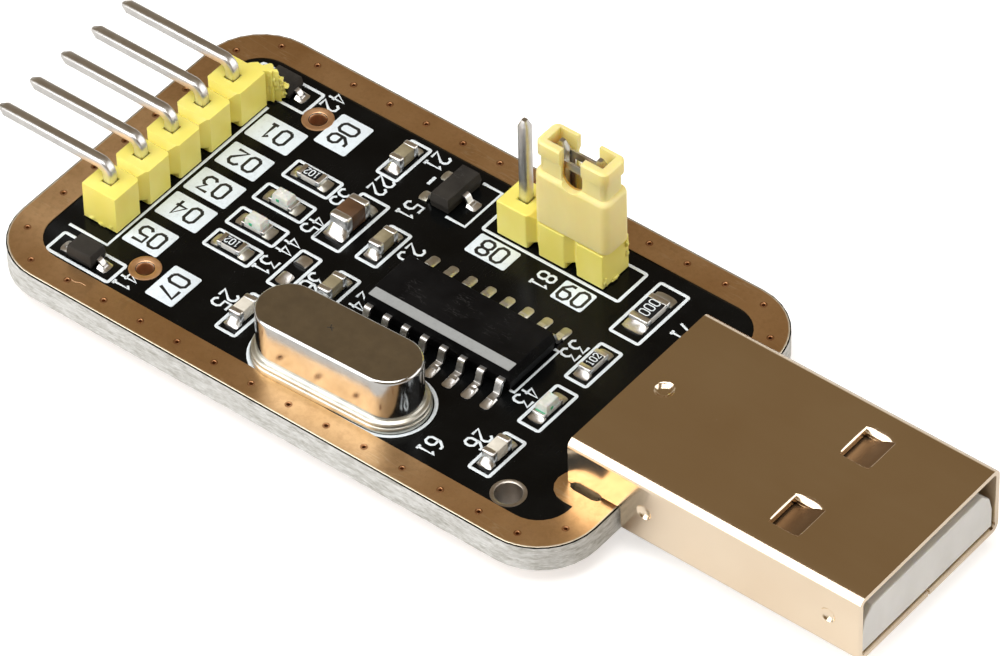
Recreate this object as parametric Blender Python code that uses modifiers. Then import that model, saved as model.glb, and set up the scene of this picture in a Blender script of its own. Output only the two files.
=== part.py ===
# Serial converter board with a USB plug: a circuit board with a bare metal border, a folded
# metal plug shell, a right-angle pin header, a jumper header with its cap, a serial chip,
# a crystal and the small soldered parts.
# Units are metres. Everything is placed in board coordinates: X runs towards the plug,
# Y across the board, and Z up from the board's top face, with the board's centre at zero.
# An empty carries the board, so that the whole object stands on its pin tails at the origin.

import math

import bmesh
import bpy
from mathutils import Matrix, Vector

MM = 0.001

# Clearances
SEAT_GAP = 0.03 * MM            # under a soldered or seated piece
SOCKET_GAP = 0.04 * MM          # around a pin in its plastic or a contact in its groove
WELD_DISTANCE = 0.0001 * MM

# Board
BOARD_LENGTH = 39.0 * MM
BOARD_WIDTH = 22.8 * MM
BOARD_THICKNESS = 1.6 * MM
BOARD_CORNER_RADIUS = 3.7 * MM
CORNER_STEPS = 8
BOARD_LEFT = -BOARD_LENGTH / 2
BOARD_RIGHT = BOARD_LENGTH / 2
NEAR_SIDE = -BOARD_WIDTH / 2
FAR_SIDE = BOARD_WIDTH / 2

# Bare metal border on the board
BORDER_INSET = 0.15 * MM
BORDER_WIDTH = 1.75 * MM
BORDER_INNER_RADIUS = 2.0 * MM
BORDER_THICKNESS = 0.05 * MM
VIA_DIAMETER = 0.34 * MM
VIA_PITCH = 2.54 * MM
VIA_SIDES = 6
VIAS_PER_LONG_SIDE = int((BOARD_LENGTH - 2 * BOARD_CORNER_RADIUS) / VIA_PITCH) + 2
VIAS_PER_SHORT_SIDE = int((BOARD_WIDTH - 2 * BOARD_CORNER_RADIUS) / VIA_PITCH) - 1
VIA_LINE_SHIFT_Y = -0.44 * MM   # the short row is not centred on the board
VIA_LINE_OUTWARD = 0.08 * MM    # the long rows stand outside the band's middle
CORNER_VIA_ANGLE = math.radians(22)

# Plated holes
TEST_HOLE_DIAMETER = 1.0 * MM
TEST_HOLE_FROM_LEFT = 8.21 * MM
TEST_HOLE_FROM_SIDE = 4.17 * MM
TEST_HOLE_X = BOARD_LEFT + TEST_HOLE_FROM_LEFT
TEST_HOLE_Y = FAR_SIDE - TEST_HOLE_FROM_SIDE
SCREW_HOLE_DIAMETER = 1.7 * MM
SCREW_HOLE_FROM_RIGHT = 5.15 * MM
SCREW_HOLE_FROM_SIDE = 2.93 * MM
SCREW_HOLE_X = BOARD_RIGHT - SCREW_HOLE_FROM_RIGHT
SCREW_HOLE_Y = NEAR_SIDE + SCREW_HOLE_FROM_SIDE
HOLE_SIDES = 14

# Pins, common to both headers
PIN_PITCH = 2.54 * MM
PIN_SIZE = 0.64 * MM
PIN_EDGE = 0.07 * MM            # bevel along a pin's edges
PIN_POINT_LENGTH = 0.42 * MM
PIN_POINT_SCALE = 0.45
PIN_HOLE_DIAMETER = 1.02 * MM
TAIL_REACH = 1.25 * MM          # below the board's underside
SOLDER_HEIGHT = 0.75 * MM
SOLDER_RADIUS = 0.82 * MM

# Header plastic
HOUSING_HEIGHT = 2.5 * MM
HOUSING_DEPTH = 2.3 * MM
HOUSING_CHAMFER = 0.45 * MM
HOUSING_GROOVE = 0.32 * MM      # depth of the groove across the top at each joint
HOUSING_NOTCH_HEIGHT = 0.45 * MM
HOUSING_NOTCH_WIDTH = 0.7 * MM

# Right-angle header at the board's left end
HEADER_PINS = 5
HEADER_FROM_LEFT = 4.12 * MM
HEADER_X = BOARD_LEFT + HEADER_FROM_LEFT
HEADER_RUN_HEIGHT = 3.55 * MM   # centre line of the level run above the board
HEADER_BEND_RADIUS = 0.62 * MM
HEADER_BEND_STEPS = 5
HEADER_PIN_OVERHANG = 3.55 * MM  # pin points beyond the board's left edge
HEADER_HOUSING_SHIFT = 0.08 * MM  # the plastic sits a little to the right of its pins
HEADER_SNAPPED_OFF = 0.18 * MM  # missing from the near end
TORN_STUB_LENGTH = 0.85 * MM    # what is left of the next housing block, broken away
TORN_LEDGE_HEIGHT = 1.35 * MM   # the torn wall is full height only near the joint
TORN_STUB_SPREAD = 1.0 * MM     # across the row
TORN_STUB_ROOT = 0.1 * MM       # how far the stub starts inside the last block

# Jumper header and its cap
JUMPER_PINS = 3
JUMPER_X = 5.65 * MM            # middle pin
JUMPER_Y = 7.3 * MM
JUMPER_PIN_TOP = 8.2 * MM
JUMPER_LEFT_SNAPPED = 0.11 * MM
JUMPER_RIGHT_SNAPPED = 0.36 * MM
CAP_LEAN = 0.08 * MM            # the cap stands a little towards the near side
CAP_Y = JUMPER_Y - CAP_LEAN
CAP_LENGTH = 4.9 * MM
CAP_DEPTH = 2.1 * MM
CAP_SHOULDER_TOP = 6.25 * MM
CAP_SHOULDER_RADIUS = 0.3 * MM
CAP_NECK_INSET = 0.24 * MM      # on each side, between the shoulder and the head
CAP_HEAD_LOW = 7.35 * MM
CAP_HEAD_INSET = 0.1 * MM
CAP_TOP = 8.35 * MM
CAP_CORNER_RADIUS = 0.45 * MM
CAP_CORNER_STEPS = 4
CAP_NOTCH_WIDTH = 1.45 * MM
CAP_NOTCH_FLOOR = 5.9 * MM
CAP_BORE_LENGTH = 3.72 * MM
CAP_BORE_DEPTH = 1.16 * MM
CAP_EDGE = 0.1 * MM
CLIP_SHEET = 0.13 * MM
CLIP_BOTTOM = 3.1 * MM
CLIP_TOP = 7.35 * MM
CLIP_BAR_HEIGHT = 0.5 * MM

# USB plug
SHELL_WIDTH = 12.0 * MM
SHELL_HEIGHT = 4.5 * MM
SHELL_TOP = 3.05 * MM
SHELL_SHEET = 0.3 * MM
SHELL_CORNER_RADIUS = 0.5 * MM
SHELL_CORNER_STEPS = 4
SHELL_OVERLAP = 3.18 * MM       # length that stands over the board
SHELL_REACH = 15.53 * MM        # length beyond the board's right edge
SHELL_SEAM = 0.12 * MM
SHELL_BOARD_GAP = 0.12 * MM     # side walls above the board, clear of the border
SHELL_RELIEF_TOP = 0.3 * MM     # between the tabs and the board's edge
SHELL_EDGE_GAP = 0.25 * MM      # lower walls clear of the board's edge
WINDOW_LENGTH = 1.85 * MM
WINDOW_WIDTH = 2.45 * MM
WINDOW_FROM_MOUTH = 6.18 * MM   # plug mouth to the windows' centre
WINDOW_SPREAD = 3.0 * MM        # each side of the centre line
FLAP_DROP = 0.73 * MM           # free end of each window's flap below the top face
FLAP_GAP = 0.12 * MM            # cut around the flap
FLAP_STEPS = 7
TOP_DIMPLE_FROM_BACK = 1.66 * MM
TOP_DIMPLE_RADIUS = 0.6 * MM
SIDE_DIMPLE_RADIUS = 0.48 * MM
SIDE_DIMPLE_HEIGHT = 0.9 * MM
SIDE_DIMPLE_FROM_BACK = 4.95 * MM
SIDE_DIMPLE_FROM_MOUTH = 1.99 * MM
DIMPLE_DEPTH = 0.15 * MM
TAB_LENGTH = 1.5 * MM
TAB_FROM_BACK = 0.42 * MM
TAB_REACH = 1.2 * MM            # below the board's underside
TAB_INSET = 0.02 * MM
SLOT_LENGTH = 2.1 * MM
SLOT_WIDTH = 0.9 * MM
SLOT_PAD_MARGIN = 0.72 * MM
SLOT_PAD_Y = 6.05 * MM
SLOT_PAD_WIDTH = 2.4 * MM

# Plug insulator and contacts
INSULATOR_GAP = 0.1 * MM        # to the shell's walls
TONGUE_TOP = 1.75 * MM
TONGUE_RECESS = 0.12 * MM       # tongue tip behind the plug mouth
TONGUE_CHAMFER_WIDTH = 0.85 * MM
TONGUE_CHAMFER_HEIGHT = 1.5 * MM
BLOCK_LENGTH = 3.3 * MM
BLOCK_FROM_BACK = 1.3 * MM
CONTACT_WIDTH = 0.8 * MM
CONTACT_SHEET = 0.22 * MM
CONTACT_SPREADS = (-3.5 * MM, -1.0 * MM, 1.0 * MM, 3.5 * MM)
CONTACT_TIP_INSET = 1.5 * MM
CONTACT_SIGNAL_EXTRA = 1.0 * MM  # the two middle contacts start further in
CONTACT_TAIL_FROM_BACK = 0.6 * MM
CONTACT_HOLE_DIAMETER = 0.95 * MM
CONTACT_BEND_RADIUS = 0.35 * MM
CONTACT_EDGE = 0.03 * MM
CONTACT_NOSE_LENGTH = 0.4 * MM

# Serial chip, a sixteen-lead small outline package
CHIP_X = 5.02 * MM
CHIP_Y = -0.84 * MM
CHIP_LENGTH = 9.9 * MM
CHIP_WIDTH = 3.9 * MM
CHIP_HEIGHT = 1.52 * MM
CHIP_DRAFT = 0.13 * MM
CHIP_STANDOFF = 0.12 * MM
CHIP_LEADS_PER_SIDE = 8
CHIP_LEAD_PITCH = 1.27 * MM
CHIP_LEAD_WIDTH = 0.42 * MM
CHIP_LEAD_SHEET = 0.2 * MM
CHIP_SPAN = 6.1 * MM            # toe to toe
CHIP_PARTING = 0.85 * MM        # height at which the leads leave the body

# Crystal
CRYSTAL_X = 2.25 * MM
CRYSTAL_Y = -7.33 * MM
CRYSTAL_TURN = math.radians(2.0)
CAN_LENGTH = 10.25 * MM
CAN_WIDTH = 3.65 * MM
CAN_TOP = 3.5 * MM
CAN_EDGE_RADIUS = 0.3 * MM
CAN_LIP = 0.3 * MM
CAN_LIP_HEIGHT = 0.3 * MM
BASE_MARGIN = 0.06 * MM
BASE_HEIGHT = 0.4 * MM
CRYSTAL_LEAD_SPACING = 4.88 * MM
CRYSTAL_LEAD_DIAMETER = 0.43 * MM
CRYSTAL_HOLE_DIAMETER = 0.8 * MM
STADIUM_STEPS = 8

# Small chip parts: length, width and height of each case size
CASE_SMALL = (1.6 * MM, 0.82 * MM)
CASE_LARGE = (2.05 * MM, 1.25 * MM)
CAPACITOR_HEIGHT = 0.84 * MM
LARGE_CAPACITOR_HEIGHT = 1.2 * MM
RESISTOR_HEIGHT = 0.45 * MM
END_CAP_SHARE = 0.22            # of the length
END_CAP_STEP = 0.03 * MM
FILLET_REACH = 0.36 * MM
FILLET_STEPS = 3
LED_BASE_HEIGHT = 0.26 * MM
LED_LENS_HEIGHT = 0.72 * MM
LED_LENS_LENGTH = 1.1 * MM
LED_LENS_SLOPE = 0.12 * MM

# Places of the small parts on the board: name, X, Y and whether it lies across the board
CAPACITOR_1_FROM_SIDE = 3.88 * MM
CAPACITOR_PLACES = (
    ("capacitor_1", -5.54 * MM, FAR_SIDE - CAPACITOR_1_FROM_SIDE),
    ("capacitor_3", -2.26 * MM, 1.74 * MM),
    ("capacitor_4", -2.23 * MM, -2.58 * MM),
    ("capacitor_5", -4.88 * MM, -6.71 * MM),
    ("capacitor_6", 12.16 * MM, -6.66 * MM),
)
LARGE_CAPACITOR_PLACE = ("capacitor_2", -4.81 * MM, 2.1 * MM)
FUSE_PLACE = ("fuse_link", 12.1 * MM, 6.33 * MM)
RESISTOR_PLACES = (
    ("resistor_1", -8.58 * MM, -3.21 * MM, False),
    ("resistor_3", 12.11 * MM, 1.51 * MM, True),
    ("resistor_5", -8.55 * MM, 3.43 * MM, False),
)
LED_PLACES = (
    ("indicator_led_3", 12.17 * MM, -2.43 * MM, True),
    ("indicator_led_4", -8.57 * MM, -1.19 * MM, False),
    ("indicator_led_5", -8.58 * MM, 1.1 * MM, False),
)

# Diodes beside the header and the small regulator
DIODE_LENGTH = 1.75 * MM
DIODE_WIDTH = 1.3 * MM
DIODE_HEIGHT = 0.95 * MM
DIODE_SPAN = 2.6 * MM
DIODE_PAST_HEADER_X = 1.08 * MM
DIODE_1_PAST_HEADER_Y = 2.13 * MM   # beyond the near end of the row
DIODE_2_PAST_HEADER_Y = 1.65 * MM   # beyond the far end
DIODE_X = HEADER_X + DIODE_PAST_HEADER_X
DIODE_PLACES = (-HEADER_PINS * PIN_PITCH / 2 - DIODE_1_PAST_HEADER_Y,
                HEADER_PINS * PIN_PITCH / 2 + DIODE_2_PAST_HEADER_Y)
DIODE_LEAD_WIDTH = 0.34 * MM
REGULATOR_X = -1.58 * MM
REGULATOR_Y = 7.05 * MM
REGULATOR_LENGTH = 2.9 * MM
REGULATOR_WIDTH = 1.32 * MM
REGULATOR_HEIGHT = 1.08 * MM
REGULATOR_SPAN = 2.5 * MM
REGULATOR_LEAD_SPREAD = 0.95 * MM
REGULATOR_LEAD_WIDTH = 0.42 * MM
SMALL_LEAD_SHEET = 0.15 * MM

# Places worked out from the sizes above
UNDERSIDE = -BOARD_THICKNESS
SHELL_BACK = BOARD_RIGHT - SHELL_OVERLAP
SHELL_MOUTH = BOARD_RIGHT + SHELL_REACH
SHELL_BOTTOM = SHELL_TOP - SHELL_HEIGHT
SLOT_X = SHELL_BACK + TAB_FROM_BACK + TAB_LENGTH / 2
SLOT_Y = SHELL_WIDTH / 2 - SHELL_SHEET / 2
HEADER_PIN_POINT = BOARD_LEFT - HEADER_PIN_OVERHANG
CONTACT_TAIL_X = SHELL_BACK + CONTACT_TAIL_FROM_BACK
STAND_HEIGHT = BOARD_THICKNESS + TAIL_REACH
PLATING_TOP = SEAT_GAP / 2 + BORDER_THICKNESS
DECK = PLATING_TOP + SEAT_GAP   # where pieces that reach over the border stand
CENTRE_SHIFT = -(HEADER_PIN_POINT + SHELL_MOUTH) / 2


def clear_scene():
    for old in list(bpy.data.objects):
        bpy.data.objects.remove(old, do_unlink=True)


def make_collection(name):
    collection = bpy.data.collections.new(name)
    bpy.context.scene.collection.children.link(collection)
    return collection


def make_material(name, colour, roughness, metallic):
    material = bpy.data.materials.new(name)
    material.use_nodes = True
    shader = material.node_tree.nodes["Principled BSDF"]
    shader.inputs["Base Color"].default_value = (*colour, 1.0)
    shader.inputs["Roughness"].default_value = roughness
    shader.inputs["Metallic"].default_value = metallic
    return material


clear_scene()
parts = make_collection("usb_serial_converter")
cutters = make_collection("cutters")

datum = bpy.data.objects.new("board_datum", None)
datum.location = (CENTRE_SHIFT, 0, STAND_HEIGHT)
parts.objects.link(datum)


def add_part(name, mesh, material, smooth=False):
    part = bpy.data.objects.new(name, mesh)
    mesh.materials.clear()
    mesh.materials.append(material)
    if smooth:
        mesh.shade_smooth()
        mesh.set_sharp_from_angle(angle=math.radians(35))
    parts.objects.link(part)
    part.parent = datum
    return part


def add_cutter(name, mesh):
    cutter = bpy.data.objects.new(name, mesh)
    cutter.display_type = "WIRE"
    cutter.hide_render = True
    cutters.objects.link(cutter)
    cutter.parent = datum
    return cutter


def boolean(part, cutter, operation):
    modifier = part.modifiers.new(operation.lower() + "_" + cutter.name, "BOOLEAN")
    modifier.object = cutter
    modifier.operation = operation
    modifier.solver = "EXACT"


def bevel(part, width, segments):
    modifier = part.modifiers.new("edges", "BEVEL")
    modifier.width = width
    modifier.segments = segments
    modifier.limit_method = "ANGLE"
    modifier.angle_limit = math.radians(40)


# Outlines, each a list of points in one plane

def arc(centre, radius, start, end, steps):
    angles = [start + (end - start) * step / steps for step in range(steps + 1)]
    return [(centre[0] + radius * math.cos(a), centre[1] + radius * math.sin(a)) for a in angles]


def circle(x, y, diameter, sides):
    return arc((x, y), diameter / 2, 0, 2 * math.pi, sides)[:-1]


def rectangle(x0, y0, x1, y1):
    return [(x0, y0), (x1, y0), (x1, y1), (x0, y1)]


def rounded_rectangle(length, width, radius, steps):
    x = length / 2 - radius
    y = width / 2 - radius
    quarter = math.pi / 2
    points = []
    for turn, (cx, cy) in enumerate(((x, y), (-x, y), (-x, -y), (x, -y))):
        points += arc((cx, cy), radius, turn * quarter, (turn + 1) * quarter, steps)
    return points


def stadium(x, y, length, width, steps):
    radius = width / 2
    half_run = length / 2 - radius
    right = arc((x + half_run, y), radius, -math.pi / 2, math.pi / 2, steps)
    left = arc((x - half_run, y), radius, math.pi / 2, 3 * math.pi / 2, steps)
    return right + left


def plate_mesh(name, outline, holes, thickness, place):
    # The outline lies in its own XY plane, and place turns and moves it onto the board
    curve = bpy.data.curves.new(name + "_outline", "CURVE")
    curve.dimensions = "2D"
    curve.fill_mode = "BOTH"
    curve.extrude = thickness / 2
    for loop in [outline] + list(holes):
        spline = curve.splines.new("POLY")
        spline.points.add(len(loop) - 1)
        for point, (x, y) in zip(spline.points, loop):
            point.co = (x, y, 0, 1)
        spline.use_cyclic_u = True
    guide = bpy.data.objects.new(name + "_outline", curve)
    bpy.context.scene.collection.objects.link(guide)
    graph = bpy.context.evaluated_depsgraph_get()
    mesh = bpy.data.meshes.new_from_object(guide.evaluated_get(graph))
    bpy.data.objects.remove(guide, do_unlink=True)
    mesh.name = name
    return finish_mesh(mesh, place)


def finish_mesh(mesh, place):
    bm = bmesh.new()
    bm.from_mesh(mesh)
    bmesh.ops.transform(bm, matrix=place, verts=bm.verts)
    bmesh.ops.remove_doubles(bm, verts=bm.verts, dist=WELD_DISTANCE)
    bmesh.ops.recalc_face_normals(bm, faces=bm.faces)
    bm.to_mesh(mesh)
    bm.free()
    return mesh


def level_place(z0, z1):
    # Outline drawn in X and Y, standing from z0 to z1
    return Matrix.Translation((0, 0, (z0 + z1) / 2))


def side_place(x, y, across):
    # Outline drawn as length and height, with its thickness across the length
    turn = Matrix.Rotation(math.pi / 2, 4, "X")
    if across:
        turn = Matrix.Rotation(math.pi / 2, 4, "Z") @ turn
    return Matrix.Translation((x, y, 0)) @ turn


def end_place(x0, x1):
    # Outline drawn as Y and Z, running from x0 to x1
    axes = Matrix(((0, 0, 1, 0), (1, 0, 0, 0), (0, 1, 0, 0), (0, 0, 0, 1)))
    return Matrix.Translation(((x0 + x1) / 2, 0, 0)) @ axes


def level_plate(name, outline, holes, z0, z1):
    return plate_mesh(name, outline, holes, z1 - z0, level_place(z0, z1))


def box_mesh(name, boxes):
    # Each box is its lowest and highest corner
    bm = bmesh.new()
    for low, high in boxes:
        low, high = Vector(low), Vector(high)
        size = high - low
        place = Matrix.Translation((low + high) / 2) @ Matrix.Diagonal((*size, 1))
        bmesh.ops.create_cube(bm, size=1, matrix=place)
    mesh = bpy.data.meshes.new(name)
    bm.to_mesh(mesh)
    bm.free()
    return mesh


def join_meshes(name, meshes):
    bm = bmesh.new()
    for mesh in meshes:
        bm.from_mesh(mesh)
    joined = bpy.data.meshes.new(name)
    bm.to_mesh(joined)
    bm.free()
    return joined


def loft_mesh(name, rings):
    # A closed solid through rings of equal point count, with a flat face at each end
    bm = bmesh.new()
    loops = [[bm.verts.new(point) for point in ring] for ring in rings]
    count = len(loops[0])
    bm.faces.new(reversed(loops[0]))
    bm.faces.new(loops[-1])
    for lower, upper in zip(loops, loops[1:]):
        for i in range(count):
            j = (i + 1) % count
            bm.faces.new((lower[i], lower[j], upper[j], upper[i]))
    bmesh.ops.recalc_face_normals(bm, faces=bm.faces)
    mesh = bpy.data.meshes.new(name)
    bm.to_mesh(mesh)
    bm.free()
    return mesh


def pin_ring(centre, side, half_side, half_width, edge):
    # A bevelled rectangle across a pin: side is its in-plane direction, its width lies along Y
    a, b, c = half_side, half_width, edge
    corners = ((a, b - c), (a - c, b), (c - a, b), (-a, b - c),
               (-a, c - b), (c - a, -b), (a - c, -b), (a, c - b))
    return [Vector(centre) + Vector(side) * u + Vector((0, v, 0)) for u, v in corners]


def round_ring(centre, radius):
    # The same eight points on a circle, for a solder cone
    return pin_ring(centre, (1, 0, 0), radius, radius, radius * (2 - math.sqrt(2)))


def solder_rings(x, y, half_side, half_width, edge):
    # From the cut end of the tail up to the board's underside
    tail = UNDERSIDE - TAIL_REACH
    top = UNDERSIDE - SEAT_GAP
    waist = top - SOLDER_HEIGHT
    end_edge = min(edge, half_side / 2)
    return [
        pin_ring((x, y, tail), (1, 0, 0), half_side * 0.7, half_width * 0.7, end_edge * 0.7),
        pin_ring((x, y, tail + 0.12 * MM), (1, 0, 0), half_side, half_width, edge),
        pin_ring((x, y, waist), (1, 0, 0), half_side * 1.05, half_width * 1.05, edge),
        round_ring((x, y, top - SOLDER_HEIGHT * 0.45), SOLDER_RADIUS * 0.62),
        round_ring((x, y, top), SOLDER_RADIUS),
        pin_ring((x, y, top + 0.01 * MM), (1, 0, 0), half_side, half_width, edge),
    ]


# Header places shared by the board, the plastic and the pins

def row(count, pitch):
    return [(i - (count - 1) / 2) * pitch for i in range(count)]


HEADER_PLACES = [(HEADER_X, y) for y in row(HEADER_PINS, PIN_PITCH)]
JUMPER_PLACES = [(JUMPER_X + dx, JUMPER_Y) for dx in row(JUMPER_PINS, PIN_PITCH)]
CAP_X = (JUMPER_PLACES[-2][0] + JUMPER_PLACES[-1][0]) / 2


def crystal_place():
    return Matrix.Translation((CRYSTAL_X, CRYSTAL_Y, 0)) @ Matrix.Rotation(CRYSTAL_TURN, 4, "Z")


def crystal_lead_places():
    places = [crystal_place() @ Vector((dx, 0, 0)) for dx in row(2, CRYSTAL_LEAD_SPACING)]
    return [(place.x, place.y) for place in places]


def via_places():
    line_y = BOARD_WIDTH / 2 - BORDER_INSET - BORDER_WIDTH / 2 + VIA_LINE_OUTWARD
    line_x = BOARD_LENGTH / 2 - BORDER_INSET - BORDER_WIDTH / 2
    places = []
    for dx in row(VIAS_PER_LONG_SIDE, VIA_PITCH):
        places += [(dx, line_y), (dx, -line_y)]
    for dy in row(VIAS_PER_SHORT_SIDE, VIA_PITCH):
        places.append((-line_x, dy + VIA_LINE_SHIFT_Y))
    corner = BOARD_CORNER_RADIUS - BORDER_INSET - BORDER_WIDTH / 2
    centre_x = BOARD_LENGTH / 2 - BOARD_CORNER_RADIUS
    centre_y = BOARD_WIDTH / 2 - BOARD_CORNER_RADIUS
    for side_x in (-1, 1):
        for side_y in (-1, 1):
            x = side_x * (centre_x + corner * math.cos(CORNER_VIA_ANGLE))
            places.append((x, side_y * (centre_y + corner * math.sin(CORNER_VIA_ANGLE))))
    return places


def slot_outline(side):
    return stadium(SLOT_X, side * SLOT_Y, SLOT_LENGTH, SLOT_WIDTH, 5)


def board_holes():
    holes = [circle(x, y, VIA_DIAMETER, VIA_SIDES) for x, y in via_places()]
    for side in (-1, 1):
        holes.append(circle(TEST_HOLE_X, side * TEST_HOLE_Y, TEST_HOLE_DIAMETER, HOLE_SIDES))
        holes.append(slot_outline(side))
    holes.append(circle(SCREW_HOLE_X, SCREW_HOLE_Y, SCREW_HOLE_DIAMETER, HOLE_SIDES + 4))
    for x, y in HEADER_PLACES + JUMPER_PLACES:
        holes.append(circle(x, y, PIN_HOLE_DIAMETER, HOLE_SIDES))
    for x, y in crystal_lead_places():
        holes.append(circle(x, y, CRYSTAL_HOLE_DIAMETER, HOLE_SIDES))
    for y in CONTACT_SPREADS:
        holes.append(circle(CONTACT_TAIL_X, y, CONTACT_HOLE_DIAMETER, HOLE_SIDES))
    return holes


def make_board(material):
    outline = rounded_rectangle(BOARD_LENGTH, BOARD_WIDTH, BOARD_CORNER_RADIUS, CORNER_STEPS)
    mesh = level_plate("circuit_board", outline, board_holes(), UNDERSIDE, 0)
    return add_part("circuit_board", mesh, material)


def pad_outline(side):
    # The round-ended pad around a plug tab, which runs into the border
    half = SLOT_PAD_WIDTH / 2
    y = side * SLOT_PAD_Y
    end_x = SLOT_X - SLOT_LENGTH / 2 - SLOT_PAD_MARGIN + half
    root_x = BOARD_RIGHT - BORDER_INSET - BORDER_WIDTH / 2
    quarter = math.pi / 2
    end = arc((end_x, y), half, 3 * quarter, quarter, CORNER_STEPS)
    return [(root_x, y - half)] + end + [(root_x, y + half)]


def make_border(material):
    low, high = SEAT_GAP / 2, PLATING_TOP
    length = BOARD_LENGTH - 2 * BORDER_INSET
    width = BOARD_WIDTH - 2 * BORDER_INSET
    radius = BOARD_CORNER_RADIUS - BORDER_INSET
    outline = rounded_rectangle(length, width, radius, CORNER_STEPS)
    holes = [rounded_rectangle(length - 2 * BORDER_WIDTH, width - 2 * BORDER_WIDTH, BORDER_INNER_RADIUS,
                               CORNER_STEPS)]
    holes += [circle(x, y, VIA_DIAMETER, VIA_SIDES) for x, y in via_places()]
    part = add_part("border_plating", level_plate("border_plating", outline, holes, low, high), material)
    pads = [level_plate("border_pad", pad_outline(side), [], low, high) for side in (-1, 1)]
    boolean(part, add_cutter("border_pads", join_meshes("border_pads", pads)), "UNION")
    slots = [level_plate("border_slot", slot_outline(side), [], -high, 2 * high) for side in (-1, 1)]
    boolean(part, add_cutter("border_slots", join_meshes("border_slots", slots)), "DIFFERENCE")
    return part


# Headers

def housing_outline(count, low_end, high_end, shift):
    # Octagonal blocks along Y, drawn around the row's centre, from end to end
    half = HOUSING_DEPTH / 2
    neck = half - HOUSING_CHAMFER
    right = [(half, low_end)]
    for joint in row(count - 1, PIN_PITCH):
        right += [(half, joint - HOUSING_CHAMFER), (neck, joint), (half, joint + HOUSING_CHAMFER)]
    right.append((half, high_end))
    left = [(-x, y) for x, y in reversed(right)]
    return [(x + shift, y) for x, y in right], [(x + shift, y) for x, y in left]


def torn_outline(end_y, reach):
    # The broken wall of the next block, an uneven tongue beyond the row's end
    shares = ((0.72, 0.0), (1.2, 0.47), (1.42, 0.5), (1.36, 0.68), (1.72, 0.82), (1.5, 1.0),
              (1.22, 0.84), (0.95, 0.98), (0.62, 0.7), (0.3, 0.78), (0.02, 0.46), (-0.25, 0.0))
    return [(x * TORN_STUB_SPREAD, end_y + share * reach) for x, share in shares]


def make_housing(name, places, along_x, snapped, shift, material):
    count = len(places)
    half_row = count * PIN_PITCH / 2
    low_end, high_end = snapped[0] - half_row, half_row - snapped[1]
    right, left = housing_outline(count, low_end, high_end, shift)
    socket = PIN_SIZE / 2 + SOCKET_GAP
    holes = [rectangle(-socket, y - socket, socket, y + socket) for y in row(count, PIN_PITCH)]
    mesh = level_plate(name, right + left, holes, DECK, HOUSING_HEIGHT)

    notch = HOUSING_NOTCH_WIDTH / 2
    over = HOUSING_GROOVE / 2       # the cutter stands out of the top face
    wide = HOUSING_GROOVE + over
    joints = row(count - 1, PIN_PITCH)
    cuts = [box_mesh("joint_notches", [((-HOUSING_DEPTH, y - notch, -HOUSING_NOTCH_HEIGHT),
                                        (HOUSING_DEPTH, y + notch, HOUSING_NOTCH_HEIGHT))
                                       for y in joints])]
    for y in joints:
        groove = [(y - wide, HOUSING_HEIGHT + over), (y, HOUSING_HEIGHT - HOUSING_GROOVE),
                  (y + wide, HOUSING_HEIGHT + over)]
        cuts.append(plate_mesh("joint_groove", groove, [], 2 * HOUSING_DEPTH,
                               end_place(-HOUSING_DEPTH, HOUSING_DEPTH)))
    cutter_mesh = join_meshes(name + "_joints", cuts)

    centre = sum((Vector(place) for place in places), Vector((0, 0))) / count
    place = Matrix.Translation((centre.x, centre.y, 0))
    if along_x:
        place = place @ Matrix.Rotation(-math.pi / 2, 4, "Z")
    finish_mesh(mesh, place)
    finish_mesh(cutter_mesh, place)
    part = add_part(name, mesh, material)
    boolean(part, add_cutter(name + "_joints", cutter_mesh), "DIFFERENCE")
    return part


def add_torn_block(housing, places):
    # A full-height sliver beside the joint and a lower ledge that reaches further out
    end_y = len(places) * PIN_PITCH / 2
    inside = TORN_STUB_ROOT
    place = Matrix.Translation((HEADER_X, 0, 0))
    levels = (("torn_ledge", TORN_STUB_LENGTH, DECK + SEAT_GAP, TORN_LEDGE_HEIGHT),
              ("torn_wall", TORN_STUB_LENGTH * 0.82, TORN_LEDGE_HEIGHT - SEAT_GAP,
               HOUSING_HEIGHT - HOUSING_NOTCH_HEIGHT / 4))
    for name, reach, low, high in levels:
        outline = torn_outline(end_y - inside, reach + inside)
        mesh = finish_mesh(level_plate(name, outline, [], low, high), place)
        boolean(housing, add_cutter(name, mesh), "UNION")


def pin_point(centre, direction, side):
    half = PIN_SIZE / 2
    base = Vector(centre) - Vector(direction) * PIN_POINT_LENGTH
    scale = PIN_POINT_SCALE
    return [pin_ring(base, side, half, half, PIN_EDGE),
            pin_ring(centre, side, half * scale, half * scale, PIN_EDGE * scale)]


def make_header_pin(number, x, y, material):
    half = PIN_SIZE / 2
    rings = solder_rings(x, y, half, half, PIN_EDGE)
    radius = HEADER_BEND_RADIUS
    for step in range(HEADER_BEND_STEPS + 1):
        angle = step / HEADER_BEND_STEPS * math.pi / 2
        side = (math.cos(angle), 0, math.sin(angle))
        centre = (x - radius + radius * math.cos(angle), y,
                  HEADER_RUN_HEIGHT - radius + radius * math.sin(angle))
        rings.append(pin_ring(centre, side, half, half, PIN_EDGE))
    rings += pin_point((HEADER_PIN_POINT, y, HEADER_RUN_HEIGHT), (-1, 0, 0), (0, 0, 1))
    name = "header_pin_%d" % number
    return add_part(name, loft_mesh(name, rings), material)


def make_jumper_pin(number, x, y, material):
    half = PIN_SIZE / 2
    rings = solder_rings(x, y, half, half, PIN_EDGE)
    rings += pin_point((x, y, JUMPER_PIN_TOP), (0, 0, 1), (1, 0, 0))
    name = "jumper_pin_%d" % number
    return add_part(name, loft_mesh(name, rings), material)


# Jumper cap

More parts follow.
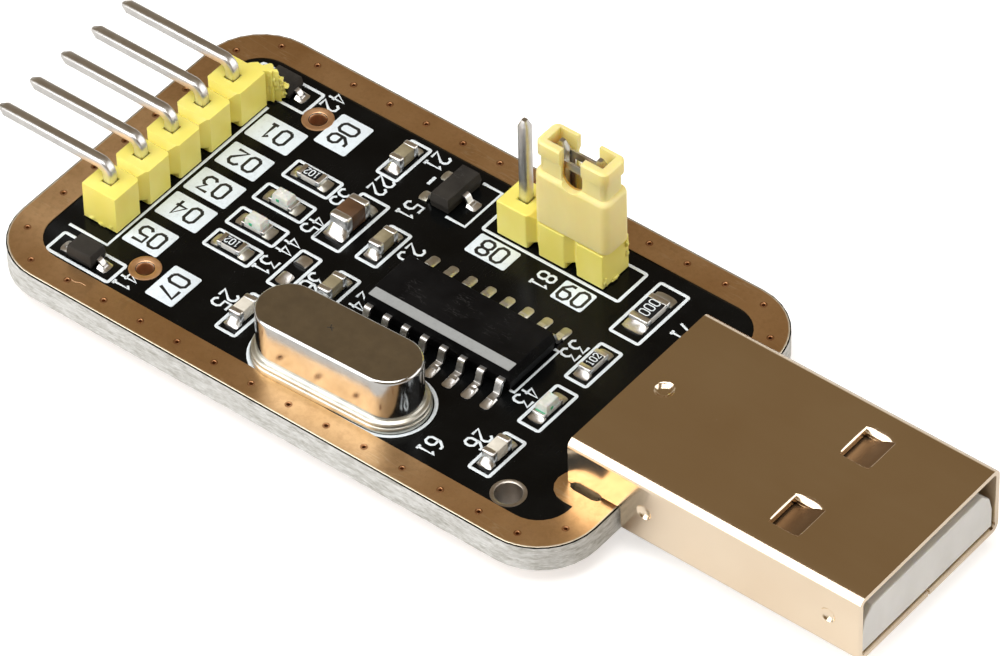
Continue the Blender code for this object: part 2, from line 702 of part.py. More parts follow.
def cap_ring(inset, z):
    radius = CAP_CORNER_RADIUS - inset / 2
    points = rounded_rectangle(CAP_LENGTH - 2 * inset, CAP_DEPTH - 2 * inset, radius, CAP_CORNER_STEPS)
    return [Vector((CAP_X + x, CAP_Y + y, z)) for x, y in points]


def make_cap(material):
    # A body with a round shoulder, a thinner neck and a flared head
    bottom = HOUSING_HEIGHT + SEAT_GAP
    head = CAP_HEAD_INSET
    neck = CAP_NECK_INSET
    rings = [cap_ring(CAP_EDGE, bottom), cap_ring(0, bottom + CAP_EDGE)]
    for step in range(4):
        angle = step / 3 * math.pi / 2
        inset = neck * (1 - math.cos(angle))
        rings.append(cap_ring(inset, CAP_SHOULDER_TOP - CAP_SHOULDER_RADIUS * (1 - math.sin(angle))))
    rings += [cap_ring(neck, CAP_HEAD_LOW - CAP_EDGE), cap_ring(head, CAP_HEAD_LOW + CAP_EDGE),
              cap_ring(head, CAP_TOP - CAP_EDGE), cap_ring(head + CAP_EDGE, CAP_TOP)]
    part = add_part("jumper_cap", loft_mesh("jumper_cap", rings), material)

    radius = CAP_NOTCH_WIDTH / 2
    top = CAP_TOP + radius
    notch = [(radius, top), (-radius, top)]
    notch += arc((0, CAP_NOTCH_FLOOR + radius), radius, math.pi, 2 * math.pi, 8)
    notch_mesh = plate_mesh("jumper_cap_notch", notch, [], CAP_DEPTH * 2,
                            side_place(CAP_X, CAP_Y, False))
    boolean(part, add_cutter("jumper_cap_notch", notch_mesh), "DIFFERENCE")

    half_length = CAP_BORE_LENGTH / 2
    half_depth = CAP_BORE_DEPTH / 2
    bore = box_mesh("jumper_cap_bore", [((CAP_X - half_length, JUMPER_Y - half_depth, bottom - MM),
                                         (CAP_X + half_length, JUMPER_Y + half_depth, CAP_TOP + MM))])
    boolean(part, add_cutter("jumper_cap_bore", bore), "DIFFERENCE")
    return part


def clip_leaf(y):
    # One side of the clip: a bar that joins two leaves, each beside its pin
    half = CAP_BORE_LENGTH / 2 - SOCKET_GAP
    inner = PIN_PITCH / 2 - PIN_SIZE * 0.85
    under_bar = CLIP_TOP - CLIP_BAR_HEIGHT
    outline = [(-half, CLIP_BOTTOM), (-inner, CLIP_BOTTOM), (-inner, under_bar), (inner, under_bar),
               (inner, CLIP_BOTTOM), (half, CLIP_BOTTOM), (half, CLIP_TOP), (-half, CLIP_TOP)]
    return plate_mesh("clip_leaf", outline, [], CLIP_SHEET, side_place(CAP_X, y, False))


def make_clip(material):
    offset = PIN_SIZE / 2 + SOCKET_GAP + CLIP_SHEET / 2
    leaves = [clip_leaf(JUMPER_Y - offset), clip_leaf(JUMPER_Y + offset)]
    part = add_part("jumper_clip", leaves[0], material)
    boolean(part, add_cutter("clip_second_leaf", leaves[1]), "UNION")
    half = CAP_BORE_LENGTH / 2 - SOCKET_GAP
    inset = 0.01 * MM
    reach = offset + CLIP_SHEET / 2 - inset
    boxes = []
    for side in (-1, 1):
        near, far = sorted((side * (half - inset), side * (half - CLIP_SHEET - inset)))
        boxes.append(((CAP_X + near, JUMPER_Y - reach, CLIP_BOTTOM + inset),
                      (CAP_X + far, JUMPER_Y + reach, CLIP_TOP - 2 * CLIP_BAR_HEIGHT)))
    end_walls = box_mesh("clip_end_walls", boxes)
    boolean(part, add_cutter("clip_end_walls", end_walls), "UNION")
    return part


# USB plug

def shell_section():
    # The bent sheet from one side of the seam round to the other, then back along its inside
    half = SHELL_WIDTH / 2
    sheet = SHELL_SHEET
    outer = SHELL_CORNER_RADIUS
    inner = outer - sheet
    quarter = math.pi / 2
    corners = ((1, -1, -1), (1, 1, 0), (-1, 1, 1), (-1, -1, 2))
    outside = [(SHELL_SEAM / 2, SHELL_BOTTOM)]
    inside = [(SHELL_SEAM / 2, SHELL_BOTTOM + sheet)]
    for side_y, side_z, turn in corners:
        y = side_y * (half - outer)
        z = SHELL_TOP - outer if side_z > 0 else SHELL_BOTTOM + outer
        start = turn * quarter
        outside += arc((y, z), outer, start, start + quarter, SHELL_CORNER_STEPS)
        inside += arc((y, z), inner, start, start + quarter, SHELL_CORNER_STEPS)
    outside.append((-SHELL_SEAM / 2, SHELL_BOTTOM))
    inside.append((-SHELL_SEAM / 2, SHELL_BOTTOM + sheet))
    return outside + inside[::-1]


def window_boxes():
    x = SHELL_MOUTH - WINDOW_FROM_MOUTH
    boxes = []
    for side in (-1, 1):
        low_y = side * WINDOW_SPREAD - WINDOW_WIDTH / 2
        for low_z, high_z in ((SHELL_TOP - 2 * SHELL_SHEET, SHELL_TOP + MM),
                              (SHELL_BOTTOM - MM, SHELL_BOTTOM + 2 * SHELL_SHEET)):
            boxes.append(((x - WINDOW_LENGTH / 2, low_y, low_z),
                          (x + WINDOW_LENGTH / 2, low_y + WINDOW_WIDTH, high_z)))
    return boxes


def dimple_mesh():
    # Shallow pressed marks: one on top near the back, two on each side
    bm = bmesh.new()

    def press(centre, radius, axis):
        ball = (radius ** 2 + DIMPLE_DEPTH ** 2) / (2 * DIMPLE_DEPTH)
        place = Vector(centre) + Vector(axis) * (ball - DIMPLE_DEPTH)
        turn = Vector((0, 0, 1)).rotation_difference(Vector(axis)).to_matrix().to_4x4()
        bmesh.ops.create_icosphere(bm, subdivisions=2, radius=ball,
                                   matrix=Matrix.Translation(place) @ turn)

    press((SHELL_BACK + TOP_DIMPLE_FROM_BACK, 0, SHELL_TOP), TOP_DIMPLE_RADIUS, (0, 0, 1))
    for side in (-1, 1):
        for x in (SHELL_BACK + SIDE_DIMPLE_FROM_BACK, SHELL_MOUTH - SIDE_DIMPLE_FROM_MOUTH):
            press((x, side * SHELL_WIDTH / 2, SIDE_DIMPLE_HEIGHT), SIDE_DIMPLE_RADIUS, (0, side, 0))
    mesh = bpy.data.meshes.new("shell_dimples")
    bm.to_mesh(mesh)
    bm.free()
    return mesh


def flap_meshes():
    # Each top window's sheet is a flap, hinged on the mouth side and bent down into the plug
    inset = 0.02 * MM
    root = 0.1 * MM
    hinge = SHELL_MOUTH - WINDOW_FROM_MOUTH + WINDOW_LENGTH / 2
    run = WINDOW_LENGTH - FLAP_GAP
    top_line = [(hinge + root, SHELL_TOP - inset)]
    for step in range(FLAP_STEPS + 1):
        share = step / FLAP_STEPS
        drop = FLAP_DROP * math.sin(share * math.pi / 2) ** 1.5
        top_line.append((hinge - run * share, SHELL_TOP - inset - drop))
    sheet = SHELL_SHEET - 2 * inset
    outline = top_line + [(x, z - sheet) for x, z in reversed(top_line)]
    width = WINDOW_WIDTH - 2 * FLAP_GAP
    return [plate_mesh("window_flap", outline, [], width, side_place(0, side * WINDOW_SPREAD, False))
            for side in (-1, 1)]


def board_side_outline():
    # What the plug's walls leave free around the board, in length and height
    relief_x = SHELL_BACK + TAB_FROM_BACK + TAB_LENGTH + 2 * SHELL_BOARD_GAP
    edge_x = BOARD_RIGHT + SHELL_EDGE_GAP
    low = SHELL_BOTTOM - MM
    return [(SHELL_BACK - MM, low), (edge_x, low), (edge_x, SHELL_RELIEF_TOP),
            (relief_x, SHELL_RELIEF_TOP), (relief_x, SHELL_BOARD_GAP), (SHELL_BACK - MM, SHELL_BOARD_GAP)]


def make_shell(material):
    mesh = plate_mesh("usb_shell", shell_section(), [], SHELL_MOUTH - SHELL_BACK,
                      end_place(SHELL_BACK, SHELL_MOUTH))
    part = add_part("usb_shell", mesh, material)
    over_board = plate_mesh("shell_board_cut", board_side_outline(), [], 2 * SHELL_WIDTH,
                            side_place(0, 0, False))
    boolean(part, add_cutter("shell_board_cut", over_board), "DIFFERENCE")
    boolean(part, add_cutter("shell_windows", box_mesh("shell_windows", window_boxes())), "DIFFERENCE")
    boolean(part, add_cutter("shell_dimples", dimple_mesh()), "DIFFERENCE")
    boolean(part, add_cutter("shell_flaps", join_meshes("shell_flaps", flap_meshes())), "UNION")

    tab_x = SHELL_BACK + TAB_FROM_BACK
    wall = SHELL_WIDTH / 2
    tabs = []
    for side in (-1, 1):
        low_y, high_y = sorted((side * (wall - TAB_INSET), side * (wall - SHELL_SHEET + TAB_INSET)))
        tabs.append(((tab_x, low_y, UNDERSIDE - TAB_REACH),
                     (tab_x + TAB_LENGTH, high_y, SHELL_BOARD_GAP + SHELL_SHEET)))
    boolean(part, add_cutter("shell_tabs", box_mesh("shell_tabs", tabs)), "UNION")
    return part


def make_insulator(material):
    gap = INSULATOR_GAP
    back = SHELL_BACK + BLOCK_FROM_BACK
    front = back + BLOCK_LENGTH
    ceiling = SHELL_TOP - SHELL_SHEET - gap
    floor = SHELL_BOTTOM + SHELL_SHEET + gap
    over_board = SHELL_BOARD_GAP
    step = BOARD_RIGHT + SHELL_EDGE_GAP + gap
    tip = SHELL_MOUTH - TONGUE_RECESS
    side = [(back, over_board), (step, over_board), (step, floor), (tip, floor), (tip, TONGUE_TOP),
            (front, TONGUE_TOP), (front, ceiling), (back, ceiling)]
    width = SHELL_WIDTH - 2 * (SHELL_SHEET + gap)
    mesh = plate_mesh("usb_insulator", side, [], width, side_place(0, 0, False))
    part = add_part("usb_insulator", mesh, material)

    half = width / 2
    wedges = []
    for sign in (-1, 1):
        corner = [(sign * (half - TONGUE_CHAMFER_WIDTH), TONGUE_TOP + MM),
                  (sign * (half - TONGUE_CHAMFER_WIDTH), TONGUE_TOP),
                  (sign * (half - TONGUE_CHAMFER_WIDTH * 0.3), TONGUE_TOP - TONGUE_CHAMFER_HEIGHT * 0.4),
                  (sign * half, TONGUE_TOP - TONGUE_CHAMFER_HEIGHT),
                  (sign * (half + MM), TONGUE_TOP - TONGUE_CHAMFER_HEIGHT),
                  (sign * (half + MM), TONGUE_TOP + MM)]
        start = front + 0.2 * MM
        end = tip + MM
        wedges.append(plate_mesh("tongue_corner", corner, [], end - start, end_place(start, end)))
    boolean(part, add_cutter("tongue_corners", join_meshes("tongue_corners", wedges)), "DIFFERENCE")

    groove = CONTACT_WIDTH / 2 + SOCKET_GAP
    floor_z = TONGUE_TOP - CONTACT_SHEET / 2 - SOCKET_GAP
    boxes = [((back - MM, y - groove, floor_z),
              (tip - CONTACT_TIP_INSET + 0.3 * MM, y + groove, TONGUE_TOP + CONTACT_SHEET / 2 + SOCKET_GAP))
             for y in CONTACT_SPREADS]
    grooves = box_mesh("contact_grooves", boxes)
    boolean(part, add_cutter("contact_grooves", grooves), "DIFFERENCE")
    return part


def make_contact(number, y, material):
    # A flat strip along the tongue that turns down through the board
    half = CONTACT_SHEET / 2
    width = CONTACT_WIDTH / 2
    edge = CONTACT_EDGE
    tip = SHELL_MOUTH - TONGUE_RECESS - CONTACT_TIP_INSET
    if number in (2, 3):
        tip -= CONTACT_SIGNAL_EXTRA
    rings = solder_rings(CONTACT_TAIL_X, y, half, width, edge)
    radius = CONTACT_BEND_RADIUS
    for step in range(4):
        angle = step / 3 * math.pi / 2
        side = (-math.cos(angle), 0, math.sin(angle))
        centre = (CONTACT_TAIL_X + radius - radius * math.cos(angle), y,
                  TONGUE_TOP - radius + radius * math.sin(angle))
        rings.append(pin_ring(centre, side, half, width, edge))
    rings.append(pin_ring((tip - CONTACT_NOSE_LENGTH, y, TONGUE_TOP), (0, 0, 1), half, width, edge))
    rings.append(pin_ring((tip, y, TONGUE_TOP - half / 2), (0, 0, 1), half / 2, width, edge / 2))
    for ring in rings[:6]:
        ring.reverse()
        ring.append(ring.pop(0))
    name = "usb_contact_%d" % number
    return add_part(name, loft_mesh(name, rings), material)


# Packages with bent leads

def gull_wing(body_half, span_half, parting, sheet, reach_in, scale=1):
    # One lead in length and height, from inside the body to its toe
    top = parting + sheet / 2
    low = parting - sheet / 2
    toe = span_half
    shoulder = body_half + 0.28 * (span_half - body_half) * scale
    heel = body_half + 0.48 * (span_half - body_half) * scale
    floor = SEAT_GAP
    return [(body_half - reach_in, low), (shoulder - sheet * 0.3, low), (heel - sheet * 0.6, floor),
            (toe, floor), (toe, floor + sheet), (heel + sheet * 0.5, floor + sheet),
            (shoulder + sheet * 0.75, top - sheet * 0.35), (shoulder + sheet * 0.35, top),
            (body_half - reach_in, top)]


def package_rings(length, width, height, draft, parting, standoff):
    levels = ((standoff, draft), (parting, 0), (height, draft))
    rings = []
    for z, inset in levels:
        x = length / 2 - inset
        y = width / 2 - inset
        rings.append([Vector((a, b, z)) for a, b in rectangle(-x, -y, x, y)])
    return rings


def lead_pair(name, places, body_half, span_half, parting, sheet, width):
    # Leads at each place: x along the body and the side it points to
    meshes = []
    for x, side in places:
        outline = gull_wing(body_half, span_half, parting, sheet, body_half * 0.4)
        turn = Matrix.Rotation(side * math.pi / 2, 4, "Z") @ Matrix.Rotation(math.pi / 2, 4, "X")
        meshes.append(plate_mesh(name, outline, [], width, Matrix.Translation((x, 0, 0)) @ turn))
    return join_meshes(name, meshes)


def make_package(name, size, draft, parting, standoff, leads, place, material):
    length, width, height = size
    body = loft_mesh(name, package_rings(length, width, height, draft, parting, standoff))
    finish_mesh(body, place)
    finish_mesh(leads, place)
    part = add_part(name, body, material)
    boolean(part, add_cutter(name + "_leads", leads), "UNION")
    return part


def make_chip(material):
    places = [(x, side) for x in row(CHIP_LEADS_PER_SIDE, CHIP_LEAD_PITCH) for side in (-1, 1)]
    leads = lead_pair("chip_leads", places, CHIP_WIDTH / 2, CHIP_SPAN / 2, CHIP_PARTING,
                      CHIP_LEAD_SHEET, CHIP_LEAD_WIDTH)
    return make_package("serial_chip", (CHIP_LENGTH, CHIP_WIDTH, CHIP_HEIGHT), CHIP_DRAFT,
                        CHIP_PARTING, CHIP_STANDOFF, leads,
                        Matrix.Translation((CHIP_X, CHIP_Y, 0)), material)


def make_regulator(material):
    spread = REGULATOR_LEAD_SPREAD
    leads = lead_pair("regulator_leads", [(-spread, 1), (spread, 1), (0, -1)],
                      REGULATOR_WIDTH / 2, REGULATOR_SPAN / 2, REGULATOR_HEIGHT * 0.5,
                      SMALL_LEAD_SHEET, REGULATOR_LEAD_WIDTH)
    place = Matrix.Translation((REGULATOR_X, REGULATOR_Y, 0)) @ Matrix.Rotation(math.pi / 2, 4, "Z")
    return make_package("regulator", (REGULATOR_LENGTH, REGULATOR_WIDTH, REGULATOR_HEIGHT),
                        0.08 * MM, REGULATOR_HEIGHT * 0.5, 0.08 * MM, leads, place, material)


def make_diode(number, y, material):
    leads = lead_pair("diode_leads", [(0, -1), (0, 1)], DIODE_LENGTH / 2, DIODE_SPAN / 2,
                      DIODE_HEIGHT * 0.5, SMALL_LEAD_SHEET, DIODE_LEAD_WIDTH)
    place = Matrix.Translation((DIODE_X, y, 0)) @ Matrix.Rotation(math.pi / 2, 4, "Z")
    return make_package("diode_%d" % number, (DIODE_WIDTH, DIODE_LENGTH, DIODE_HEIGHT),
                        0.06 * MM, DIODE_HEIGHT * 0.5, 0.08 * MM, leads, place, material)


# Crystal

def stadium_ring(length, width, z):
    points = stadium(0, 0, length, width, STADIUM_STEPS)
    return [Vector((x, y, z)) for x, y in points]


def make_crystal(can_material, base_material, lead_material):
    base_top = DECK + BASE_HEIGHT
    lip_length = CAN_LENGTH + 2 * CAN_LIP
    lip_width = CAN_WIDTH + 2 * CAN_LIP
    base = [stadium_ring(lip_length + 2 * BASE_MARGIN, lip_width + 2 * BASE_MARGIN, z)
            for z in (DECK, base_top)]
    lip_low = base_top + SEAT_GAP
    lip_high = lip_low + CAN_LIP_HEIGHT
    can = [stadium_ring(lip_length, lip_width, lip_low), stadium_ring(lip_length, lip_width, lip_high),
           stadium_ring(CAN_LENGTH + CAN_LIP * 0.5, CAN_WIDTH + CAN_LIP * 0.5, lip_high + 0.06 * MM),
           stadium_ring(CAN_LENGTH, CAN_WIDTH, lip_high + 0.22 * MM)]
    edge = CAN_EDGE_RADIUS
    for step in range(5):
        angle = step / 4 * math.pi / 2
        inset = 2 * edge * (1 - math.cos(angle))
        can.append(stadium_ring(CAN_LENGTH - inset, CAN_WIDTH - inset,
                                CAN_TOP - edge + edge * math.sin(angle)))
    place = crystal_place()
    add_part("crystal_can", finish_mesh(loft_mesh("crystal_can", can), place), can_material, True)
    add_part("crystal_base", finish_mesh(loft_mesh("crystal_base", base), place), base_material, True)
    for number, (x, y) in enumerate(crystal_lead_places(), 1):
        make_crystal_lead(number, x, y, lead_material)


def make_crystal_lead(number, x, y, material):
    # A turned wire with its solder cone: the outside runs from top to bottom
    radius = CRYSTAL_LEAD_DIAMETER / 2
    top = UNDERSIDE - SEAT_GAP
    tail = UNDERSIDE - TAIL_REACH
    profile = [(0, 0), (radius, 0), (radius, top + 0.01 * MM),
               (SOLDER_RADIUS, top), (SOLDER_RADIUS * 0.55, top - SOLDER_HEIGHT * 0.5),
               (radius * 1.1, top - SOLDER_HEIGHT), (radius, tail), (0, tail)]
    name = "crystal_lead_%d" % number
    bm = bmesh.new()
    verts = [bm.verts.new((r, 0, z)) for r, z in profile]
    for a, b in zip(verts, verts[1:]):
        bm.edges.new((a, b))
    mesh = bpy.data.meshes.new(name)
    bm.to_mesh(mesh)
    bm.free()
    part = add_part(name, mesh, material)
    part.location = (x, y, 0)
    screw = part.modifiers.new("turn", "SCREW")
    screw.steps = 12
    screw.render_steps = 12
    screw.use_merge_vertices = True
    screw.merge_threshold = WELD_DISTANCE
    return part


# Small chip parts, each an extruded side profile with its solder fillets

def chip_profile(length, height):
    half = length / 2
    cap = length * END_CAP_SHARE
    body_top = height - END_CAP_STEP
    wet = height * 0.62
    right = []
    for step in range(FILLET_STEPS + 1):
        share = step / FILLET_STEPS
        right.append((half + FILLET_REACH * (1 - share) ** 1.6, SEAT_GAP + (wet - SEAT_GAP) * share))
    right += [(half, height - 0.04 * MM), (half - 0.04 * MM, height), (half - cap, height),
              (half - cap, body_top)]
    left = [(-x, z) for x, z in reversed(right)]
    return right + left


def make_chip_part(name, x, y, case, height, across, material):
    length, width = case
    mesh = plate_mesh(name, chip_profile(length, height), [], width, side_place(x, y, across))
    return add_part(name, mesh, material)


def make_led(name, x, y, across, material):
    length, width = CASE_SMALL
    half = length / 2
    lens = LED_LENS_LENGTH / 2
    right = []
    for step in range(FILLET_STEPS + 1):
        share = step / FILLET_STEPS
        rise = (LED_BASE_HEIGHT - SEAT_GAP) * share
        right.append((half + FILLET_REACH * (1 - share) ** 1.6, SEAT_GAP + rise))
    right += [(lens, LED_BASE_HEIGHT), (lens - LED_LENS_SLOPE, LED_LENS_HEIGHT)]
    outline = right + [(-px, pz) for px, pz in reversed(right)]
    mesh = plate_mesh(name, outline, [], width, side_place(x, y, across))
    return add_part(name, mesh, material)


def make_materials():
    return {
        "board": make_material("board_black", (0.012, 0.013, 0.015), 0.35, 0.0),
        "gold": make_material("border_gold", (0.62, 0.40, 0.18), 0.3, 1.0),
        "shell": make_material("plug_metal", (0.78, 0.70, 0.55), 0.18, 1.0),
        "insulator": make_material("plug_plastic", (0.82, 0.82, 0.80), 0.45, 0.0),
        "contact": make_material("contact_gold", (0.83, 0.62, 0.25), 0.25, 1.0),
        "yellow": make_material("header_yellow", (0.87, 0.70, 0.09), 0.45, 0.0),
        "cream": make_material("cap_cream", (0.86, 0.72, 0.33), 0.4, 0.0),
        "tin": make_material("pin_tin", (0.66, 0.64, 0.61), 0.25, 1.0),
        "can": make_material("crystal_nickel", (0.72, 0.68, 0.64), 0.2, 1.0),
        "epoxy": make_material("package_black", (0.018, 0.018, 0.02), 0.5, 0.0),
        "ceramic": make_material("capacitor_ceramic", (0.55, 0.50, 0.40), 0.45, 0.0),
        "brown": make_material("capacitor_brown", (0.28, 0.13, 0.05), 0.45, 0.0),
        "film": make_material("resistor_black", (0.03, 0.03, 0.03), 0.4, 0.0),
        "lens": make_material("led_clear", (0.80, 0.85, 0.80), 0.2, 0.0),
    }


def build():
    look = make_materials()
    make_board(look["board"])
    make_border(look["gold"])

    housing = make_housing("header_housing", HEADER_PLACES, False, (HEADER_SNAPPED_OFF, 0),
                           HEADER_HOUSING_SHIFT, look["yellow"])
    add_torn_block(housing, HEADER_PLACES)
    for number, (x, y) in enumerate(HEADER_PLACES, 1):
        make_header_pin(number, x, y, look["tin"])
    make_housing("jumper_housing", JUMPER_PLACES, True, (JUMPER_LEFT_SNAPPED, JUMPER_RIGHT_SNAPPED),
                 0, look["yellow"])
    for number, (x, y) in enumerate(JUMPER_PLACES, 1):
        make_jumper_pin(number, x, y, look["tin"])
    make_cap(look["cream"])
    make_clip(look["tin"])

    make_shell(look["shell"])
    make_insulator(look["insulator"])
    for number, y in enumerate(CONTACT_SPREADS, 1):
        make_contact(number, y, look["contact"])

    make_chip(look["epoxy"])
    make_regulator(look["epoxy"])
    for number, y in enumerate(DIODE_PLACES, 1):
        make_diode(number, y, look["epoxy"])
    make_crystal(look["can"], look["can"], look["tin"])

    for name, x, y in CAPACITOR_PLACES:
        make_chip_part(name, x, y, CASE_SMALL, CAPACITOR_HEIGHT, True, look["ceramic"])
    name, x, y = LARGE_CAPACITOR_PLACE
    make_chip_part(name, x, y, CASE_LARGE, LARGE_CAPACITOR_HEIGHT, True, look["brown"])
    name, x, y = FUSE_PLACE
    make_chip_part(name, x, y, CASE_LARGE, RESISTOR_HEIGHT, True, look["film"])
    for name, x, y, across in RESISTOR_PLACES:
        make_chip_part(name, x, y, CASE_SMALL, RESISTOR_HEIGHT, across, look["film"])
    for name, x, y, across in LED_PLACES:
        make_led(name, x, y, across, look["lens"])


build()
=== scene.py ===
import math

import bmesh
import bpy
from mathutils import Matrix, Vector, noise


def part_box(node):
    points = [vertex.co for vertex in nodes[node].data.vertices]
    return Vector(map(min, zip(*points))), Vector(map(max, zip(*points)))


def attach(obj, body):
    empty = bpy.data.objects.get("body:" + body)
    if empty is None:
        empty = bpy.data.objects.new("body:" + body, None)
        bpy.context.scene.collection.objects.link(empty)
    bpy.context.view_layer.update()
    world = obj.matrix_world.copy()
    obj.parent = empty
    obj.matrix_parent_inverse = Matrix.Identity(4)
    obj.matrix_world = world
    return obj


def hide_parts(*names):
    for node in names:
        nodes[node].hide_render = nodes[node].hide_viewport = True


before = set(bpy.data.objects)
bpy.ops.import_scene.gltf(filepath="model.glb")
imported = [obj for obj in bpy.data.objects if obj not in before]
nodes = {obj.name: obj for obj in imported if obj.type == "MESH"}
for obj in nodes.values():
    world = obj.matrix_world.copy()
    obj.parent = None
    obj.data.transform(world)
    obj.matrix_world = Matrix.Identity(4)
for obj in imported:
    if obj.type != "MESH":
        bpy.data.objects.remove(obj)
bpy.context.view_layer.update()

# Pieces are modelled in millimetres from the middle of the board's top face:
# +X towards the plug, +Y across the board, +Z up. finishPiece then puts them in place.
mm = 0.001
boardLow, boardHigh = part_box("circuit_board")
boardMiddle = Vector(((boardLow[0] + boardHigh[0]) / 2, 0, boardHigh[2]))
toFrame = Matrix.Translation(boardMiddle) @ Matrix.Scale(mm, 4)
underside = -(boardHigh[2] - boardLow[2]) / mm
laid = 0.012        # how far off the board a thin layer lies


# Shader helpers

class Wire:
    # Wraps a socket, so that sums written in Python add Math nodes
    def __init__(self, tree, socket=None):
        self.tree = tree
        self.socket = socket

    def node(self, kind, settings, values, out=0):
        made = self.tree.nodes.new("ShaderNode" + kind)
        for name, setting in settings.items():
            if name == "stops":
                self.stops(made.color_ramp, setting)
            else:
                setattr(made, name, setting)
        for key, value in values.items():
            feed(made.inputs[key], value)
        return Wire(self.tree, made.outputs[out])

    def stops(self, ramp, stops):
        while len(ramp.elements) < len(stops):
            ramp.elements.new(0.5)
        for element, (position, colour) in zip(ramp.elements, stops):
            element.position = position
            element.color = (*colour, 1)

    def sum(self, operation, first, second=0.0):
        return self.node("Math", {"operation": operation}, {0: first, 1: second})

    def __add__(self, other):
        return self.sum("ADD", self, other)

    def __sub__(self, other):
        return self.sum("SUBTRACT", self, other)

    def __rsub__(self, other):
        return self.sum("SUBTRACT", other, self)

    def __mul__(self, other):
        return self.sum("MULTIPLY", self, other)

    def __lt__(self, other):
        return self.sum("LESS_THAN", self, other)

    def __gt__(self, other):
        return self.sum("GREATER_THAN", self, other)

    def __abs__(self):
        return self.sum("ABSOLUTE", self)

    __radd__ = __add__
    __rmul__ = __mul__


def feed(socket, value):
    if isinstance(value, Wire):
        value.tree.links.new(value.socket, socket)
    elif isinstance(value, (tuple, list)) and len(value) == 3 and socket.type == "RGBA":
        socket.default_value = (*value, 1)
    else:
        socket.default_value = value


class Look:
    # A material under way: its shader, and its place in millimetres
    def __init__(self, name, **constants):
        self.material = bpy.data.materials.new(name)
        self.material.use_nodes = True
        tree = self.material.node_tree
        self.shader = tree.nodes["Principled BSDF"]
        self.wire = Wire(tree)
        coords = self.wire.node("TexCoord", {}, {}, "Object")
        self.place = self.wire.node("VectorMath", {"operation": "SCALE"}, {0: coords, "Scale": 1 / mm})
        for name, value in constants.items():
            self.set(name, value)

    def set(self, name, value):
        feed(self.shader.inputs[name.replace("_", " ")], value)

    def stretched(self, x, y, z):
        return self.wire.node("VectorMath", {"operation": "MULTIPLY"}, {0: self.place, 1: (x, y, z)})

    def noise(self, scale, detail=3.0, roughness=0.5, place=None, distortion=0.0):
        values = {"Vector": place or self.place, "Scale": scale, "Detail": detail, "Roughness": roughness,
                  "Distortion": distortion}
        return self.wire.node("TexNoise", {}, values)

    def cells(self, scale):
        return self.wire.node("TexVoronoi", {}, {"Vector": self.place, "Scale": scale})

    def ramp(self, value, stops):
        # The product makes a plain value of the ramp's colour
        spread = [(position, (level,) * 3) for position, level in stops]
        return self.wire.node("ValToRGB", {"stops": spread}, {0: value}) * 1.0

    def rise(self, value, start, end, most=1.0):
        return self.ramp(value, [(start, 0.0), (end, most)])

    def mix(self, factor, low, high):
        return self.wire.node("Mix", {"data_type": "RGBA"}, {0: factor, 6: low, 7: high}, 2)

    def blend(self, value, start, end, low, high, most=1.0):
        # From low to high, while the value goes from start to end
        return self.mix(self.rise(value, start, end, most), low, high)

    def axis(self, letter, source=None):
        return self.wire.node("SeparateXYZ", {}, {0: source or self.place}, letter)

    def scratches(self, scale, stretch, amount):
        # Thin bright streaks: 1 in a scratch, 0 elsewhere
        along = self.noise(scale, 2.0, 0.5, self.stretched(*stretch))
        band = self.ramp(along, [(0.5 - amount, 0.0), (0.5, 1.0), (0.5 + amount, 0.0)])
        return band * self.rise(self.noise(scale * 0.12, 2.0), 0.52, 0.62)

    def finish(self, colour, roughness, height, strength, distance):
        # height is lifted as a bump, whose distance is in millimetres
        self.set("Base Color", colour)
        self.set("Roughness", roughness)
        bump = {"Strength": strength, "Distance": distance * mm, "Height": height}
        self.set("Normal", self.wire.node("Bump", {}, bump, "Normal"))
        return self


# Mesh helpers

def addObject(name, data):
    item = bpy.data.objects.new(name, data)
    bpy.context.scene.collection.objects.link(item)
    return item


def toMesh(name, bm):
    mesh = bpy.data.meshes.new(name)
    bm.to_mesh(mesh)
    bm.free()
    return mesh


def resultOf(holder):
    # The mesh that an object's modifiers or curve settings give; the object goes
    mesh = bpy.data.meshes.new_from_object(holder.evaluated_get(bpy.context.evaluated_depsgraph_get()))
    bpy.data.objects.remove(holder, do_unlink=True)
    return mesh


def paint(bm, look):
    # Gives a look to the faces made since the last call
    done = bm.faces.layers.int.get("painted") or bm.faces.layers.int.new("painted")
    for face in bm.faces:
        if not face[done]:
            face.material_index = look
            face[done] = 1


def finishPiece(name, bm, looks, stands=(), sharp=35, bevel=0.0, segments=2):
    painted = bm.faces.layers.int.get("painted")
    if painted:
        bm.faces.layers.int.remove(painted)
    bmesh.ops.recalc_face_normals(bm, faces=bm.faces)
    bmesh.ops.transform(bm, matrix=toFrame, verts=bm.verts)
    placeMesh(name, toMesh(name, bm), looks, stands, sharp, bevel, segments)


def placeMesh(name, mesh, looks, stands=(), sharp=35, bevel=0.0, segments=2):
    for look in looks:
        mesh.materials.append(look.material)
    mesh.shade_smooth()
    mesh.set_sharp_from_angle(angle=math.radians(sharp))
    piece = addObject(name, mesh)
    if bevel:
        rounded = piece.modifiers.new("softEdges", "BEVEL")
        rounded.width = bevel * mm
        rounded.segments = segments
        rounded.limit_method = "ANGLE"
        rounded.angle_limit = math.radians(40)
        rounded.harden_normals = True
        weighted = piece.modifiers.new("flatFaces", "WEIGHTED_NORMAL")
        weighted.keep_sharp = True
        weighted.weight = 80
    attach(piece, "root")
    if stands:
        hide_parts(*stands)


